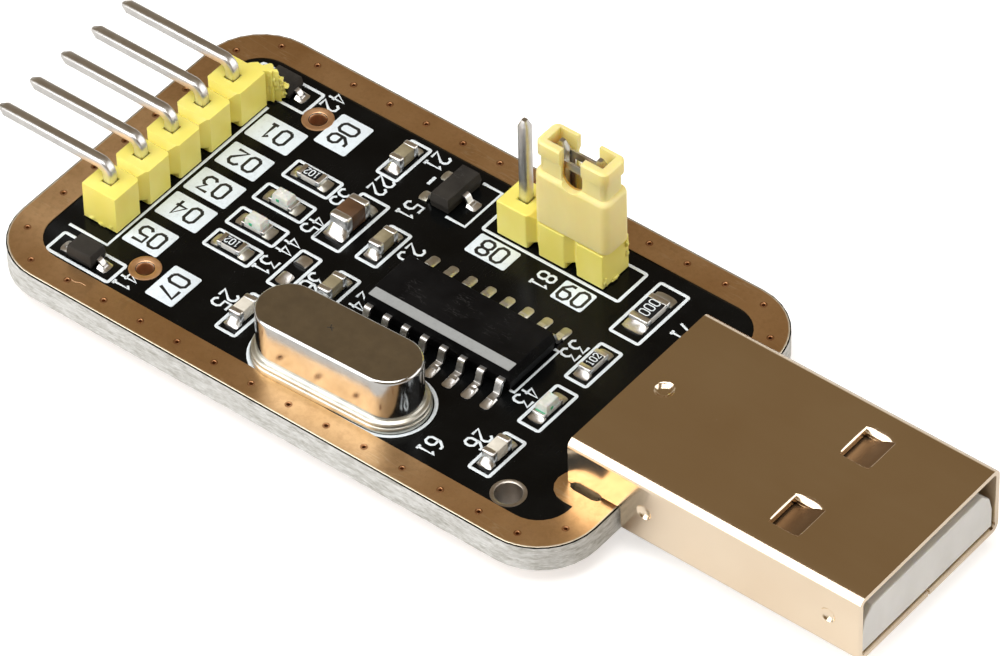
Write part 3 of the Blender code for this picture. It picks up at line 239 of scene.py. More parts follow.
def carve(mesh, cutter):
    # Takes the cutter's shape out of a mesh, and leaves no modifier or helper behind
    bmesh.ops.recalc_face_normals(cutter, faces=cutter.faces)
    bmesh.ops.transform(cutter, matrix=toFrame, verts=cutter.verts)
    holder, tool = addObject("carved", mesh), addObject("cutter", toMesh("cutter", cutter))
    cut = holder.modifiers.new("cut", "BOOLEAN")
    cut.operation = "DIFFERENCE"
    cut.solver = "EXACT"
    cut.object = tool
    result = resultOf(holder)
    bpy.data.objects.remove(tool, do_unlink=True)
    return result


def refine(node, look, bevel, segments=2, cutter=None):
    # The CAD solid itself, merged and flattened, with its edges softened
    bm = bmesh.new()
    bm.from_mesh(nodes[node].data)
    bmesh.ops.remove_doubles(bm, verts=bm.verts, dist=0.001 * mm)
    bmesh.ops.dissolve_limit(bm, angle_limit=math.radians(0.6), verts=bm.verts, edges=bm.edges)
    mesh = toMesh(node + "_fine", bm)
    if cutter:
        mesh = carve(mesh, cutter)
    placeMesh(node + "_fine", mesh, [look], (node,), 32, bevel, segments)


def addBlock(bm, low, high, edge=0.0, segments=2, turn=None):
    low, high = Vector(low), Vector(high)
    place = Matrix.Translation((low + high) / 2) @ (turn or Matrix()) @ Matrix.Diagonal((*(high - low), 1))
    verts = bmesh.ops.create_cube(bm, size=1, matrix=place)["verts"]
    if edge:
        edges = list({line for vert in verts for line in vert.link_edges})
        bmesh.ops.bevel(bm, geom=edges, offset=edge, segments=segments, affect="EDGES", profile=0.5,
                        material=-1)


def flatFace(bm, outline, z):
    return bm.faces.new([bm.verts.new((x, y, z)) for x, y in outline])


def whole(face):
    return [face, *face.edges, *face.verts]


def facesOf(made):
    return [item for item in made if isinstance(item, bmesh.types.BMFace)]


def vertsOf(made):
    return [item for item in made if isinstance(item, bmesh.types.BMVert)]


def extrude(bm, face):
    return facesOf(bmesh.ops.extrude_face_region(bm, geom=whole(face))["geom"])[0]


def grow(bm, face, move=(0, 0, 0), scale=1.0):
    # Extrudes one face, moved and scaled about its middle; gives the new face
    tip = extrude(bm, face)
    middle = tip.calc_center_median()
    for vert in tip.verts:
        vert.co = middle + (vert.co - middle) * scale + Vector(move)
    return tip


def addLoft(bm, rings):
    # A solid through rings of points, each extruded from the one before
    face = bm.faces.new([bm.verts.new(point) for point in rings[0]])
    corners = list(face.verts)
    for ring in rings[1:]:
        spots = {tuple(vert.co): index for index, vert in enumerate(corners)}
        face = extrude(bm, face)
        for vert in face.verts:
            corners[spots[tuple(vert.co)]] = vert
        for vert, point in zip(corners, ring):
            vert.co = point


def addStack(bm, shape, levels):
    # shape gives the outline for an inset; levels are (height, inset) from the bottom up
    addLoft(bm, [[(x, y, height) for x, y in shape(inset)] for height, inset in levels])


def addDrop(bm, shape, levels):
    # Solder or metal under the board; levels are (depth below it, inset)
    addStack(bm, shape, [(underside - depth, inset) for depth, inset in levels])


def addRing(bm, x, y, section, sides):
    # Spun from its section, (radius, height) pairs in a closed loop
    verts = [bm.verts.new((x + r, y, z)) for r, z in section]
    lines = [bm.edges.new(pair) for pair in zip(verts, verts[1:] + verts[:1])]
    bmesh.ops.spin(bm, geom=verts + lines, cent=(x, y, 0), axis=(0, 0, 1), angle=2 * math.pi,
                   steps=sides, use_merge=True)


def arcPoints(x, y, radius, start, end, steps):
    angles = [math.radians(start + (end - start) * step / steps) for step in range(steps + 1)]
    return [(x + radius * math.cos(a), y + radius * math.sin(a)) for a in angles]


def roundedBox(x0, y0, x1, y1, radius, steps):
    points = []
    for x, y, start in ((x1 - radius, y1 - radius, 0), (x0 + radius, y1 - radius, 90),
                        (x0 + radius, y0 + radius, 180), (x1 - radius, y0 + radius, 270)):
        points += arcPoints(x, y, radius, start, start + 90, steps)
    return points


def boxShape(x0, y0, x1, y1, radius, steps=4):
    return lambda inset: roundedBox(x0 + inset, y0 + inset, x1 - inset, y1 - inset,
                                    max(radius - inset, 0.02), steps)


def stadiumShape(length, width, steps=20):
    straight = (length - width) / 2
    return lambda inset: (arcPoints(straight, 0, width / 2 - inset, -90, 90, steps)
                          + arcPoints(-straight, 0, width / 2 - inset, 90, 270, steps))


def circleShape(x, y, radius, sides=24):
    return lambda inset: arcPoints(x, y, radius - inset, 0, 360, sides)[:-1]


def setDown(bm, x, y, turn):
    place = Matrix.Translation((x, y, 0)) @ Matrix.Rotation(math.radians(turn), 4, "Z")
    bmesh.ops.transform(bm, matrix=place, verts=bm.verts)


def addSolder(bm, x0, x1, half, tall, rise, place=Matrix(), seed=0.0):
    # A mound of solder on a pad, highest at its end towards rise (+1 or -1 along X)
    size = x1 - x0

    def share(vert):
        return (vert.co.x - x0) / size if rise > 0 else (x1 - vert.co.x) / size

    flat = Matrix.Translation(((x0 + x1) / 2, 0, laid)) @ Matrix.Diagonal((size, 2 * half, 1, 1))
    grid = bmesh.ops.create_grid(bm, x_segments=12, y_segments=10, size=0.5, matrix=flat)["verts"]
    faces = list({face for vert in grid for face in vert.link_faces})
    upper = vertsOf(bmesh.ops.extrude_face_region(bm, geom=faces)["geom"])
    for vert in upper:
        swell = (0.16 + 0.84 * max(share(vert), 0) ** 1.5) * (1 - 0.72 * abs(vert.co.y / half) ** 3)
        uneven = noise.noise(Vector((vert.co.x * 2.0, vert.co.y * 2.0, seed)))
        vert.co.z = laid + 0.02 + tall * swell * (1 + 0.22 * uneven)
    for vert in grid + upper:
        vert.co.x += rise * (1 - share(vert)) * 0.16 * size * abs(vert.co.y / half) ** 4
    bmesh.ops.transform(bm, matrix=place, verts=grid + upper)


def addClump(bm, x, y, z, size, seed, squash):
    # A torn crumb of plastic
    made = bmesh.ops.create_icosphere(bm, subdivisions=3, radius=1)["verts"]
    for vert in made:
        ragged = 1 + 0.55 * noise.noise(vert.co * 1.6 + Vector((seed, 0, 0))) \
            + 0.25 * noise.noise(vert.co * 4.0 + Vector((0, seed, 0)))
        vert.co = Vector((x, y, z)) + Vector(c * s * size * ragged for c, s in zip(vert.co, squash))


def placeRibbons(name, strokes, section, look):
    # Lines as flattened tubes: a stroke is its points and whether it closes,
    # a section the width, height and lift of the tube
    width, height, lift = section
    curve = bpy.data.curves.new(name, "CURVE")
    curve.dimensions = "3D"
    curve.bevel_depth = width / 2
    curve.bevel_resolution = 1
    curve.use_fill_caps = True
    for points, closed in strokes:
        spline = curve.splines.new("POLY")
        spline.points.add(len(points) - 1)
        for point, (x, y) in zip(spline.points, points):
            point.co = (x, y, 0, 1)
        spline.use_cyclic_u = closed
    mesh = resultOf(addObject(name, curve))
    flatten = Matrix.Translation((0, 0, lift)) @ Matrix.Diagonal((1, 1, height / width, 1))
    mesh.transform(toFrame @ flatten)
    placeMesh(name, mesh, [look])


# Printed digits, drawn as strokes on a grid 4 wide and 6 high

digitStrokes = {
    "0": [[(1, 0), (3, 0), (4, 1), (4, 5), (3, 6), (1, 6), (0, 5), (0, 1), (1, 0)]],
    "1": [[(0.8, 4.8), (2, 6), (2, 0)], [(0.8, 0), (3.2, 0)]],
    "2": [[(0, 5), (1, 6), (3, 6), (4, 5), (4, 3.8), (0, 0), (4, 0)]],
    "3": [[(0, 6), (4, 6), (2, 3.5), (3, 3.5), (4, 2.6), (4, 1), (3, 0), (1, 0), (0, 1)]],
    "4": [[(3, 0), (3, 6), (0, 2), (4, 2)]],
    "5": [[(4, 6), (0, 6), (0, 3.4), (3, 3.4), (4, 2.5), (4, 1), (3, 0), (1, 0), (0, 1)]],
    "6": [[(3.6, 6), (2, 6), (0, 4), (0, 1), (1, 0), (3, 0), (4, 1), (4, 2.4), (3, 3.4), (0, 3.4)]],
    "7": [[(0, 6), (4, 6), (1.4, 0)]],
    "8": [[(1, 3.3), (0, 4.2), (0, 5.2), (1, 6), (3, 6), (4, 5.2), (4, 4.2), (3, 3.3), (1, 3.3), (0, 2.4),
           (0, 0.9), (1, 0), (3, 0), (4, 0.9), (4, 2.4), (3, 3.3)]],
    "9": [[(0.4, 0), (2, 0), (4, 2), (4, 5), (3, 6), (1, 6), (0, 5), (0, 3.6), (1, 2.6), (4, 2.6)]],
}


def numberStrokes(text, x, y, tall, turn, wide):
    # Centred on x and y, and turned in degrees; wide is the width of a digit to its height
    step = tall / 6
    across = step * 4 * wide / 0.667
    gap = across * 0.42
    total = len(text) * across + (len(text) - 1) * gap
    spin = Matrix.Rotation(math.radians(turn), 2)
    strokes = []
    for index, digit in enumerate(text):
        left = -total / 2 + index * (across + gap)
        for line in digitStrokes[digit]:
            points = [spin @ Vector((left + px / 4 * across, py * step - tall / 2)) for px, py in line]
            strokes.append(([(x + p.x, y + p.y) for p in points], False))
    return strokes


# Looks

print("looks")


def makeMask():
    look = Look("boardMask", IOR=1.5, Specular_IOR_Level=0.14)
    fibre = look.noise(1.1, 5.0, 0.65, look.stretched(1, 1, 4))
    strands = look.noise(3.4, 4.0, 0.7, look.stretched(0.7, 0.7, 6))
    edge = look.blend(fibre, 0.35, 0.62, (0.36, 0.36, 0.33), (0.62, 0.63, 0.62))
    edge = look.blend(strands, 0.46, 0.7, edge, (0.86, 0.87, 0.87), 0.75)
    facing = look.axis("Z", look.wire.node("NewGeometry", {}, {}, "Normal"))
    side = 1 - look.rise(abs(facing), 0.3, 0.6)
    cloud = look.noise(0.35, 3.0, 0.6)
    mask = look.blend(cloud, 0.35, 0.7, (0.0022, 0.0025, 0.0026), (0.0045, 0.005, 0.0052))
    specks = look.ramp(look.cells(1.5), [(0.0, 1.0), (0.045, 0.0)])
    specks = specks * look.rise(look.noise(0.7), 0.5, 0.6)
    mask = look.mix(specks * 0.6, mask, (0.16, 0.16, 0.16))
    streak = look.scratches(3.0, (1, 0.16, 1), 0.010)
    rough = 0.16 + side * 0.6 + look.noise(0.8, 4.0) * 0.10 + streak * 0.18
    height = look.noise(2.2, 3.0) * 0.5 + fibre * side * 3.0 + strands * side * 4.0
    return look.finish(look.mix(side, mask, edge), rough, height, 0.22, 0.03)


def makeBorderMetal():
    look = Look("bareBorder", Metallic=1.0)
    grime = look.noise(0.22, 5.0, 0.6)
    fine = look.noise(2.5, 4.0, 0.7)
    base = look.blend(grime, 0.3, 0.7, (0.62, 0.385, 0.18), (0.79, 0.53, 0.285))
    base = look.blend(fine, 0.45, 0.75, base, (0.42, 0.22, 0.10), 0.4)
    streak = look.scratches(2.2, (0.12, 1, 1), 0.02)
    base = look.mix(streak * 0.5, base, (0.85, 0.66, 0.42))
    stain = look.rise(look.noise(0.55, 4.0, 0.6, None, 1.2), 0.60, 0.68)
    base = look.mix(stain * 0.12, base, (0.20, 0.11, 0.06))
    return look.finish(base, 0.27 + fine * 0.14 + grime * 0.06, look.noise(5.0, 4.0, 0.6) + streak * 0.6,
                       0.10, 0.01)


def makePlugMetal(name, low, high, rough):
    look = Look(name, Metallic=1.0)
    bloom = look.noise(0.16, 3.0, 0.5)
    base = look.blend(bloom, 0.35, 0.68, low, high)
    specks = look.ramp(look.cells(0.8), [(0.0, 1.0), (0.035, 0.0)])
    dust = specks * look.rise(look.noise(1.6), 0.54, 0.62)
    base = look.mix(dust * 0.5, base, (0.98, 0.92, 0.80))
    roll = look.noise(1.4, 4.0, 0.6, look.stretched(0.08, 1.6, 1.6))
    # The sheet sinks a little towards its two long folds
    shoulder = look.rise(abs(look.axis("Y")) * 0.1, 0.50, 0.59)
    height = roll * 0.5 + look.noise(0.5, 2.0) * 1.2 + dust * 3.0 - shoulder * shoulder * 70.0
    return look.finish(base, rough + roll * 0.06 + bloom * 0.03 + dust * 0.4, height, 1.0, 0.0016)


def makeTin(name, low, high, rough, wave=0.6):
    look = Look(name, Metallic=1.0)
    patch, draw = look.noise(1.2, 4.0, 0.6), look.noise(3.2, 4.0, 0.65)
    base = look.blend(patch, 0.32, 0.68, low, high)
    return look.finish(base, rough + draw * 0.16, draw + patch * 1.4, wave * 0.25, 0.03)


def makePlastic(name, low, high, rough, glow, depth=0.0006, glowHollow=None):
    # Moulded plastic with faint flow marks and a little light passing through its skin; a given hollow gets a
    # painted orange glow
    look = Look(name, IOR=1.5, Subsurface_Weight=glow, Subsurface_Scale=depth,
                Subsurface_Radius=(1.0, 0.75, 0.25))
    flow = look.noise(0.45, 3.0, 0.5, look.stretched(1, 1, 0.5))
    grain = look.noise(6.0, 4.0, 0.6)
    base = look.blend(flow, 0.3, 0.72, low, high)
    base = look.blend(grain, 0.55, 0.8, base, high, 0.25)
    if glowHollow:
        # Painted glow: the hollow is painted orange, standing in for light that came through the walls
        inside = look.ramp(look.axis("Z") * 0.05, [(0.49, 1.0), (0.55, 0.0)])
        for letter, (middle, half) in glowHollow.items():
            inside = inside * (abs(look.axis(letter) - middle) < half)
        base = look.mix(inside, base, (0.66, 0.34, 0.05))
    return look.finish(base, rough + grain * 0.14, grain + flow * 2.0, 0.16, 0.03)


def makeEpoxy(name, low, high, rough):
    look = Look(name, IOR=1.5, Specular_IOR_Level=0.07)
    grain = look.noise(9.0, 5.0, 0.75)
    base = look.blend(look.noise(0.6, 3.0), 0.35, 0.7, low, high)
    streak = look.scratches(4.0, (0.2, 1, 1), 0.012)
    base = look.mix(streak * 0.4, base, (0.10, 0.10, 0.10))
    return look.finish(base, rough + grain * 0.2 - streak * 0.15, grain, 0.3, 0.025)


def makePrint(name, colour, rough):
    look = Look(name, IOR=1.45)
    worn = look.noise(4.0, 4.0, 0.7)
    dull = tuple(level * 0.8 for level in colour)
    return look.finish(look.blend(worn, 0.5, 0.8, colour, dull), rough + worn * 0.15, worn, 0.2, 0.01)


def makeCeramic(name, low, high):
    look = Look(name, IOR=1.6)
    grain = look.noise(7.0, 5.0, 0.7)
    base = look.blend(look.noise(1.1, 2.0), 0.35, 0.7, low, high)
    base = look.blend(grain, 0.6, 0.85, base, low, 0.5)
    return look.finish(base, 0.32 + grain * 0.2, grain, 0.25, 0.02)


def makeLens():
    look = Look("ledLens", IOR=1.45, Transmission_Weight=0.2, Subsurface_Weight=0.35, Subsurface_Scale=0.0004)
    milk = look.noise(2.4, 4.0, 0.6)
    base = look.blend(milk, 0.35, 0.65, (0.70, 0.75, 0.69), (0.88, 0.90, 0.86))
    return look.finish(base, 0.14 + milk * 0.2, milk, 0.3, 0.05)


mask = makeMask()
borderMetal = makeBorderMetal()
plugMetal = makePlugMetal("plugSheet", (0.84, 0.70, 0.53), (0.89, 0.765, 0.60), 0.12)
# Painted shade: the window flaps are the same sheet as the shell, coloured far darker for the shade they lie
# in
shadedFlapMetal = makePlugMetal("shadedFlapSheet", (0.26, 0.165, 0.09), (0.32, 0.21, 0.12), 0.42)
tin = makeTin("pinTin", (0.60, 0.60, 0.60), (0.71, 0.71, 0.70), 0.24, 0.08)
solder = makeTin("solder", (0.62, 0.62, 0.61), (0.80, 0.80, 0.79), 0.22, 0.35)
# Painted shade: a darker copy of the solder, for solder on the far ends of parts and for the crystal's flare
# and base
shadedSolder = makeTin("shadedSolder", (0.46, 0.46, 0.42), (0.64, 0.63, 0.55), 0.30, 0.35)
canMetal = makeTin("canNickel", (0.48, 0.48, 0.48), (0.57, 0.57, 0.56), 0.07, 0.2)
contactMetal = makeTin("contactPlating", (0.70, 0.50, 0.20), (0.83, 0.62, 0.28), 0.2)
holeCopper = makeTin("holeRim", (0.66, 0.38, 0.20), (0.84, 0.54, 0.32), 0.36, 0.3)
viaCopper = makeTin("viaRim", (0.34, 0.16, 0.07), (0.50, 0.27, 0.13), 0.3)
# Painted highlight: paler than the border's copper, for the bright line where light catches the border's
# outer edge
rimHighlightMetal = makeTin("borderRimHighlight", (0.72, 0.64, 0.50), (0.84, 0.76, 0.62), 0.4, 0.4)
holeTin = makeTin("holeTin", (0.40, 0.37, 0.33), (0.52, 0.48, 0.43), 0.28)
headerPlastic = makePlastic("headerYellow", (0.87, 0.765, 0.15), (0.92, 0.83, 0.23), 0.33, 0.3)
# The cap's hollow gets a painted orange glow, standing in for light through its walls
capPlastic = makePlastic("capCream", (0.86, 0.70, 0.28), (0.91, 0.77, 0.36), 0.34, 0.6, 0.0012,
                          {"X": (0.93, 1.92), "Y": (7.22, 0.64)})
tonguePlastic = makePlastic("tongueWhite", (0.64, 0.64, 0.62), (0.72, 0.72, 0.71), 0.36, 0.1)
epoxy = makeEpoxy("chipEpoxy", (0.003, 0.003, 0.0033), (0.007, 0.007, 0.0075), 0.34)
diodeEpoxy = makeEpoxy("diodeEpoxy", (0.026, 0.024, 0.022), (0.042, 0.039, 0.035), 0.36)
filmBlack = makeEpoxy("resistorFilm", (0.008, 0.008, 0.009), (0.016, 0.016, 0.017), 0.22)
whitePrint = makePrint("whitePrint", (0.72, 0.79, 0.84), 0.45)
labelPrint = makePrint("labelPrint", (0.73, 0.82, 0.89), 0.42)
greyPrint = makePrint("greyPrint", (0.34, 0.36, 0.37), 0.4)
blackPrint = makePrint("blackPrint", (0.012, 0.013, 0.014), 0.3)
ceramicGrey = makeCeramic("ceramicGrey", (0.20, 0.17, 0.10), (0.32, 0.28, 0.18))
ceramicPale = makeCeramic("ceramicPale", (0.62, 0.59, 0.51), (0.78, 0.75, 0.67))
ceramicBrown = makeCeramic("ceramicBrown", (0.075, 0.034, 0.013), (0.115, 0.055, 0.022))
alumina = makeCeramic("alumina", (0.58, 0.58, 0.56), (0.72, 0.72, 0.70))
lens = makeLens()
greenMark = makePrint("greenMark", (0.05, 0.45, 0.22), 0.4)


# Looks of the CAD pieces

carried = {         # by the start of the node's name; the first that fits is taken
    "circuit_board": mask, "border_plating": borderMetal, "usb_shell": plugMetal,
    "usb_insulator": tonguePlastic, "usb_contact": contactMetal, "header_pin": tin, "jumper_pin": tin,
    "header_housing": headerPlastic, "jumper_housing": headerPlastic, "jumper_cap": capPlastic,
    "jumper_clip": tin, "serial_chip": epoxy, "regulator": epoxy, "diode": epoxy, "crystal_lead": tin,
    "crystal": canMetal, "capacitor_2": ceramicBrown, "capacitor": ceramicGrey, "resistor": epoxy,
    "fuse": epoxy, "indicator": lens,
}

for name, node in nodes.items():
    look = next(look for start, look in carried.items() if name.startswith(start))
    node.data.materials.clear()
    node.data.materials.append(look.material)


# Printed lines, boxes and numbers

print("printing")

silk = {
    "section": (0.2, 0.05, 0.006), "corner": 0.1,
    "numberSection": (0.16, 0.05, 0.006), "numberHeight": 1.02, "numberWide": 0.5,
    "ring": {"place": (2.25, -7.25), "turn": 2.0, "length": 11.4, "width": 4.9},
    "boxes": (      # outer edges: left, near, right, far
        (-10.17, 2.62, -6.91, 4.23), (-10.32, 0.32, -6.85, 1.88), (-10.27, -1.99, -6.86, -0.38),
        (-10.18, -3.98, -6.97, -2.42), (-5.60, -4.18, -4.11, -0.98), (-6.31, 5.92, -4.77, 9.13),
        (-5.82, -0.15, -3.80, 4.34), (-3.05, 0.14, -1.47, 3.33), (-2.98, -4.18, -1.45, -0.98),
        (-5.64, -8.38, -4.13, -5.09), (11.40, -8.30, 12.92, -5.02), (11.32, -0.12, 12.90, 3.15),
        (11.40, -4.17, 12.94, -0.68), (11.06, 4.02, 13.14, 8.62), (-16.58, -9.36, -12.10, -7.61),
        (-16.62, 6.98, -12.12, 8.99), (0.99, 5.91, 10.32, 8.66)),
    "lines": (
        [(-16.7, -7.1), (-14.05, -7.1), (-14.05, 6.3)],
        [(-1.05, 5.54), (0.25, 5.54), (0.25, 8.75), (-1.05, 8.75)],
        [(-3.39, 6.9), (-3.39, 7.55)],
        [(9.75, -2.57), (10.05, -2.57), (10.05, 1.2), (9.75, 1.2)],
    ),
    "numbers": {    # every part's own two digits, and where they stand
        "42": (-11.46, 8.80), "21": (-4.05, 8.55), "51": (-2.90, 4.72), "35": (-6.30, 3.30),
        "22": (-5.30, 5.30), "45": (-6.22, 0.75), "44": (-6.25, -1.30), "31": (-6.35, -3.17),
        "36": (-3.50, -2.63), "23": (-0.72, 2.22), "24": (-0.48, -2.20), "25": (-6.40, -6.45),
        "61": (9.05, -8.31), "41": (-11.46, -8.60), "81": (6.10, 4.85), "71": (14.40, 6.30),
        "33": (10.62, 1.77), "43": (10.76, -2.40), "26": (10.72, -6.40)},
}
labels = {          # left, near, right, far, and the way it reads
    "01": (-13.80, 3.94, -10.83, 5.90, 180), "02": (-13.72, 1.33, -10.95, 3.22, 180),
    "03": (-13.75, -1.25, -10.84, 0.70, 180), "04": (-13.75, -3.61, -10.87, -1.65, 180),
    "05": (-13.78, -6.28, -11.35, -4.29, 180), "06": (-10.47, 5.80, -8.30, 8.40, -90),
    "07": (-10.15, -8.65, -8.27, -6.07, -90), "08": (1.28, 4.14, 3.98, 5.72, 180),
    "09": (7.08, 4.14, 9.15, 5.66, 180),
}
labelFacts = {"corner": 0.12, "levels": [(0.004, 0), (0.026, 0), (0.034, 0.015)],
              "numberSection": (0.20, 0.03, 0.034), "numberHeight": 1.12, "numberWide": 0.6}


def makePrinting():
    half = silk["section"][0] / 2
    strokes = [(roundedBox(x0 + half, y0 + half, x1 - half, y1 - half, silk["corner"], 2), True)
               for x0, y0, x1, y1 in silk["boxes"]]
    strokes += [(line, False) for line in silk["lines"]]
    ring = silk["ring"]
    middle, turn = Vector(ring["place"]), Matrix.Rotation(math.radians(ring["turn"]), 2)
    around = stadiumShape(ring["length"], ring["width"])(half)
    strokes.append(([middle + turn @ Vector(point) for point in around], True))
    placeRibbons("silkLines", strokes, silk["section"], whitePrint)
    strokes = []
    for text, (x, y) in silk["numbers"].items():
        strokes += numberStrokes(text, x, y, silk["numberHeight"], -90, silk["numberWide"])
    placeRibbons("silkNumbers", strokes, silk["numberSection"], whitePrint)
    bm = bmesh.new()
    strokes = []
    tall, wide = labelFacts["numberHeight"], labelFacts["numberWide"]
    for text, (x0, y0, x1, y1, turn) in labels.items():
        addStack(bm, boxShape(x0, y0, x1, y1, labelFacts["corner"], 3), labelFacts["levels"])
        strokes += numberStrokes(text, (x0 + x1) / 2, (y0 + y1) / 2, tall, turn, wide)
    finishPiece("labelBoxes", bm, [labelPrint])
    placeRibbons("labelNumbers", strokes, labelFacts["numberSection"], blackPrint)


makePrinting()


# Holes, vias and the border of the underside

print("holes")

holes = {
    "test": {"places": ((-11.29, 7.23), (-11.29, -7.23)), "inner": 0.46, "outer": 0.92},
    "screw": {"place": (14.35, -8.47), "inner": 0.76, "outer": 1.0},
    "via": {"pitch": 2.54, "longRow": 14, "shortRow": 5, "lineX": 18.475, "lineY": 10.455, "shift": -0.44,
            "inner": 0.095, "outer": 0.165, "corner": (15.8, 7.7), "cornerReach": 2.675, "cornerAngle": 22},
}
border = {          # half sizes of its outer edge, and the section of its lip
    "half": (19.35, 11.25), "width": 1.75, "radius": 3.55, "height": 0.045,
    "lip": 0.02, "lipSection": (0.11, 0.05, 0.04),
}
scratch = {"start": (-13.98, -10.36), "step": (0.083, 0.018), "curl": 0.035, "section": (0.04, 0.02, 0.066)}
lower = {           # what the underside carries; levels are (depth, inset)
    "pads": {"x": (15.9, 18.9), "y": 6.05, "half": 1.2, "round": 1.1, "levels": [(0.06, 0), (0.014, 0)]},
    "tabs": {"place": (17.49, 5.85), "half": (1.25, 0.62), "round": 0.55,
             "levels": [(0.047, 0), (0.177, 0.05), (0.357, 0.22), (0.557, 0.4), (0.657, 0.45)]},
    "contacts": {"x": 16.92, "rows": (-3.5, -1.0, 1.0, 3.5), "radius": 0.66,
                 "levels": [(0.01, 0), (0.12, 0.06), (0.35, 0.24), (0.7, 0.36), (0.85, 0.46)]},
    "crystal": {"place": (2.25, -7.33), "turn": 2.0, "spread": 2.44, "radius": 0.72,
                "levels": [(0.01, 0), (0.12, 0.06), (0.35, 0.3), (0.62, 0.46), (0.72, 0.58)]},
}


def viaPlaces():
    facts = holes["via"]

    def row(count):
        return [(index - (count - 1) / 2) * facts["pitch"] for index in range(count)]

    places = [(x, side * facts["lineY"]) for x in row(facts["longRow"]) for side in (-1, 1)]
    places += [(-facts["lineX"], y + facts["shift"]) for y in row(facts["shortRow"])]
    (x, y), reach, angle = facts["corner"], facts["cornerReach"], math.radians(facts["cornerAngle"])
    x, y = x + reach * math.cos(angle), y + reach * math.sin(angle)
    return places + [(sideX * x, sideY * y) for sideX in (-1, 1) for sideY in (-1, 1)]


def makeHoles():
    # Each ring's section runs up inside its hole and over its edge
    bm = bmesh.new()
    foot, step = underside - 0.03, underside + 0.02
    inner, outer = holes["test"]["inner"], holes["test"]["outer"]
    for x, y in holes["test"]["places"]:
        addRing(bm, x, y, [(inner, foot), (outer, foot), (outer, step), (inner + 0.035, underside + 0.05),
                           (inner + 0.035, -0.3), (outer, -0.02), (outer - 0.02, 0.035), (outer - 0.08, 0.05),
                           (outer - 0.16, 0.035), (inner + 0.16, 0.02), (inner + 0.07, 0.0),
                           (inner + 0.02, -0.05), (inner, -0.2)], 48)
    finishPiece("testHoleRings", bm, [holeCopper], sharp=50)
    bm = bmesh.new()
    (x, y), inner, outer = holes["screw"].values()
    addRing(bm, x, y, [(inner, foot), (outer, foot), (outer, step), (inner + 0.07, underside + 0.05),
                       (inner + 0.07, -0.05), (outer, -0.02), (outer - 0.02, 0.035), (inner + 0.06, 0.045),
                       (inner, 0.0)], 56)
    finishPiece("screwHoleRing", bm, [holeTin], sharp=50)
    bm = bmesh.new()
    inner, outer = holes["via"]["inner"], holes["via"]["outer"]
    for x, y in viaPlaces():
        addRing(bm, x, y, [(inner, -0.5), (outer, -0.5), (outer, 0.066), (outer + 0.05, 0.078), (outer, 0.09),
                           (inner + 0.02, 0.075), (inner, 0.03)], 14)
    finishPiece("viaRims", bm, [viaCopper], sharp=50)


def makeScratch():
    # The thin curled scratch in the border beside the first diode
    (x, y), (alongX, alongY) = scratch["start"], scratch["step"]
    line = [(x + alongX * step, y + alongY * step + scratch["curl"] * math.sin(step * 0.9))
            for step in range(14)]
    placeRibbons("borderScratch", [(line, False)], scratch["section"], holeCopper)


def borderOutline(spare=0.0):
    x, y = (half + spare for half in border["half"])
    return roundedBox(-x, -y, x, y, border["radius"] + spare, 10)


def makeBorderRim():
    # The raised lip along the outer side of the border, coloured pale as a painted highlight where light
    # catches that edge
    strokes = [(borderOutline(border["lip"]), True)]
    placeRibbons("borderRimHighlight", strokes, border["lipSection"], rimHighlightMetal)


def makeLowerBorder():
    bm = bmesh.new()
    plate = flatFace(bm, borderOutline(), underside - laid)
    plate.normal_update()
    bmesh.ops.inset_region(bm, faces=[plate], thickness=border["width"], use_even_offset=True,
                           use_boundary=True)
    bmesh.ops.delete(bm, geom=[plate], context="FACES_ONLY")
    made = bmesh.ops.extrude_face_region(bm, geom=list(bm.faces))["geom"]
    bmesh.ops.translate(bm, vec=(0, 0, -border["height"]), verts=vertsOf(made))
    pads = lower["pads"]
    (x0, x1), half = pads["x"], pads["half"]
    for y in (-pads["y"], pads["y"]):
        addDrop(bm, boxShape(x0, y - half, x1, y + half, pads["round"], 8), pads["levels"])
    paint(bm, 0)
    face = underside - border["height"] - laid
    low, high = face - 0.02, face + 0.01
    for x, y in viaPlaces():
        addRing(bm, x, y, [(0.12, low), (0.24, low), (0.24, high), (0.12, high)], 14)
    paint(bm, 1)
    finishPiece("lowerBorder", bm, [borderMetal, viaCopper], sharp=50)


def makeLowerSolder():
    bm = bmesh.new()
    tabs, contacts, leads = lower["tabs"], lower["contacts"], lower["crystal"]
    (x, spread), (halfX, halfY) = tabs["place"], tabs["half"]
    for y in (-spread, spread):
        addDrop(bm, boxShape(x - halfX, y - halfY, x + halfX, y + halfY, tabs["round"], 8), tabs["levels"])
    for y in contacts["rows"]:
        addDrop(bm, circleShape(contacts["x"], y, contacts["radius"]), contacts["levels"])
    (x, y), turn = leads["place"], math.radians(leads["turn"])
    for reach in (-leads["spread"], leads["spread"]):
        addDrop(bm, circleShape(x + reach * math.cos(turn), y + reach * math.sin(turn), leads["radius"]),
                leads["levels"])
    finishPiece("lowerSolder", bm, [solder])


makeHoles()
makeScratch()
makeBorderRim()
makeLowerBorder()
makeLowerSolder()


# Small parts on their pads

print("small parts")

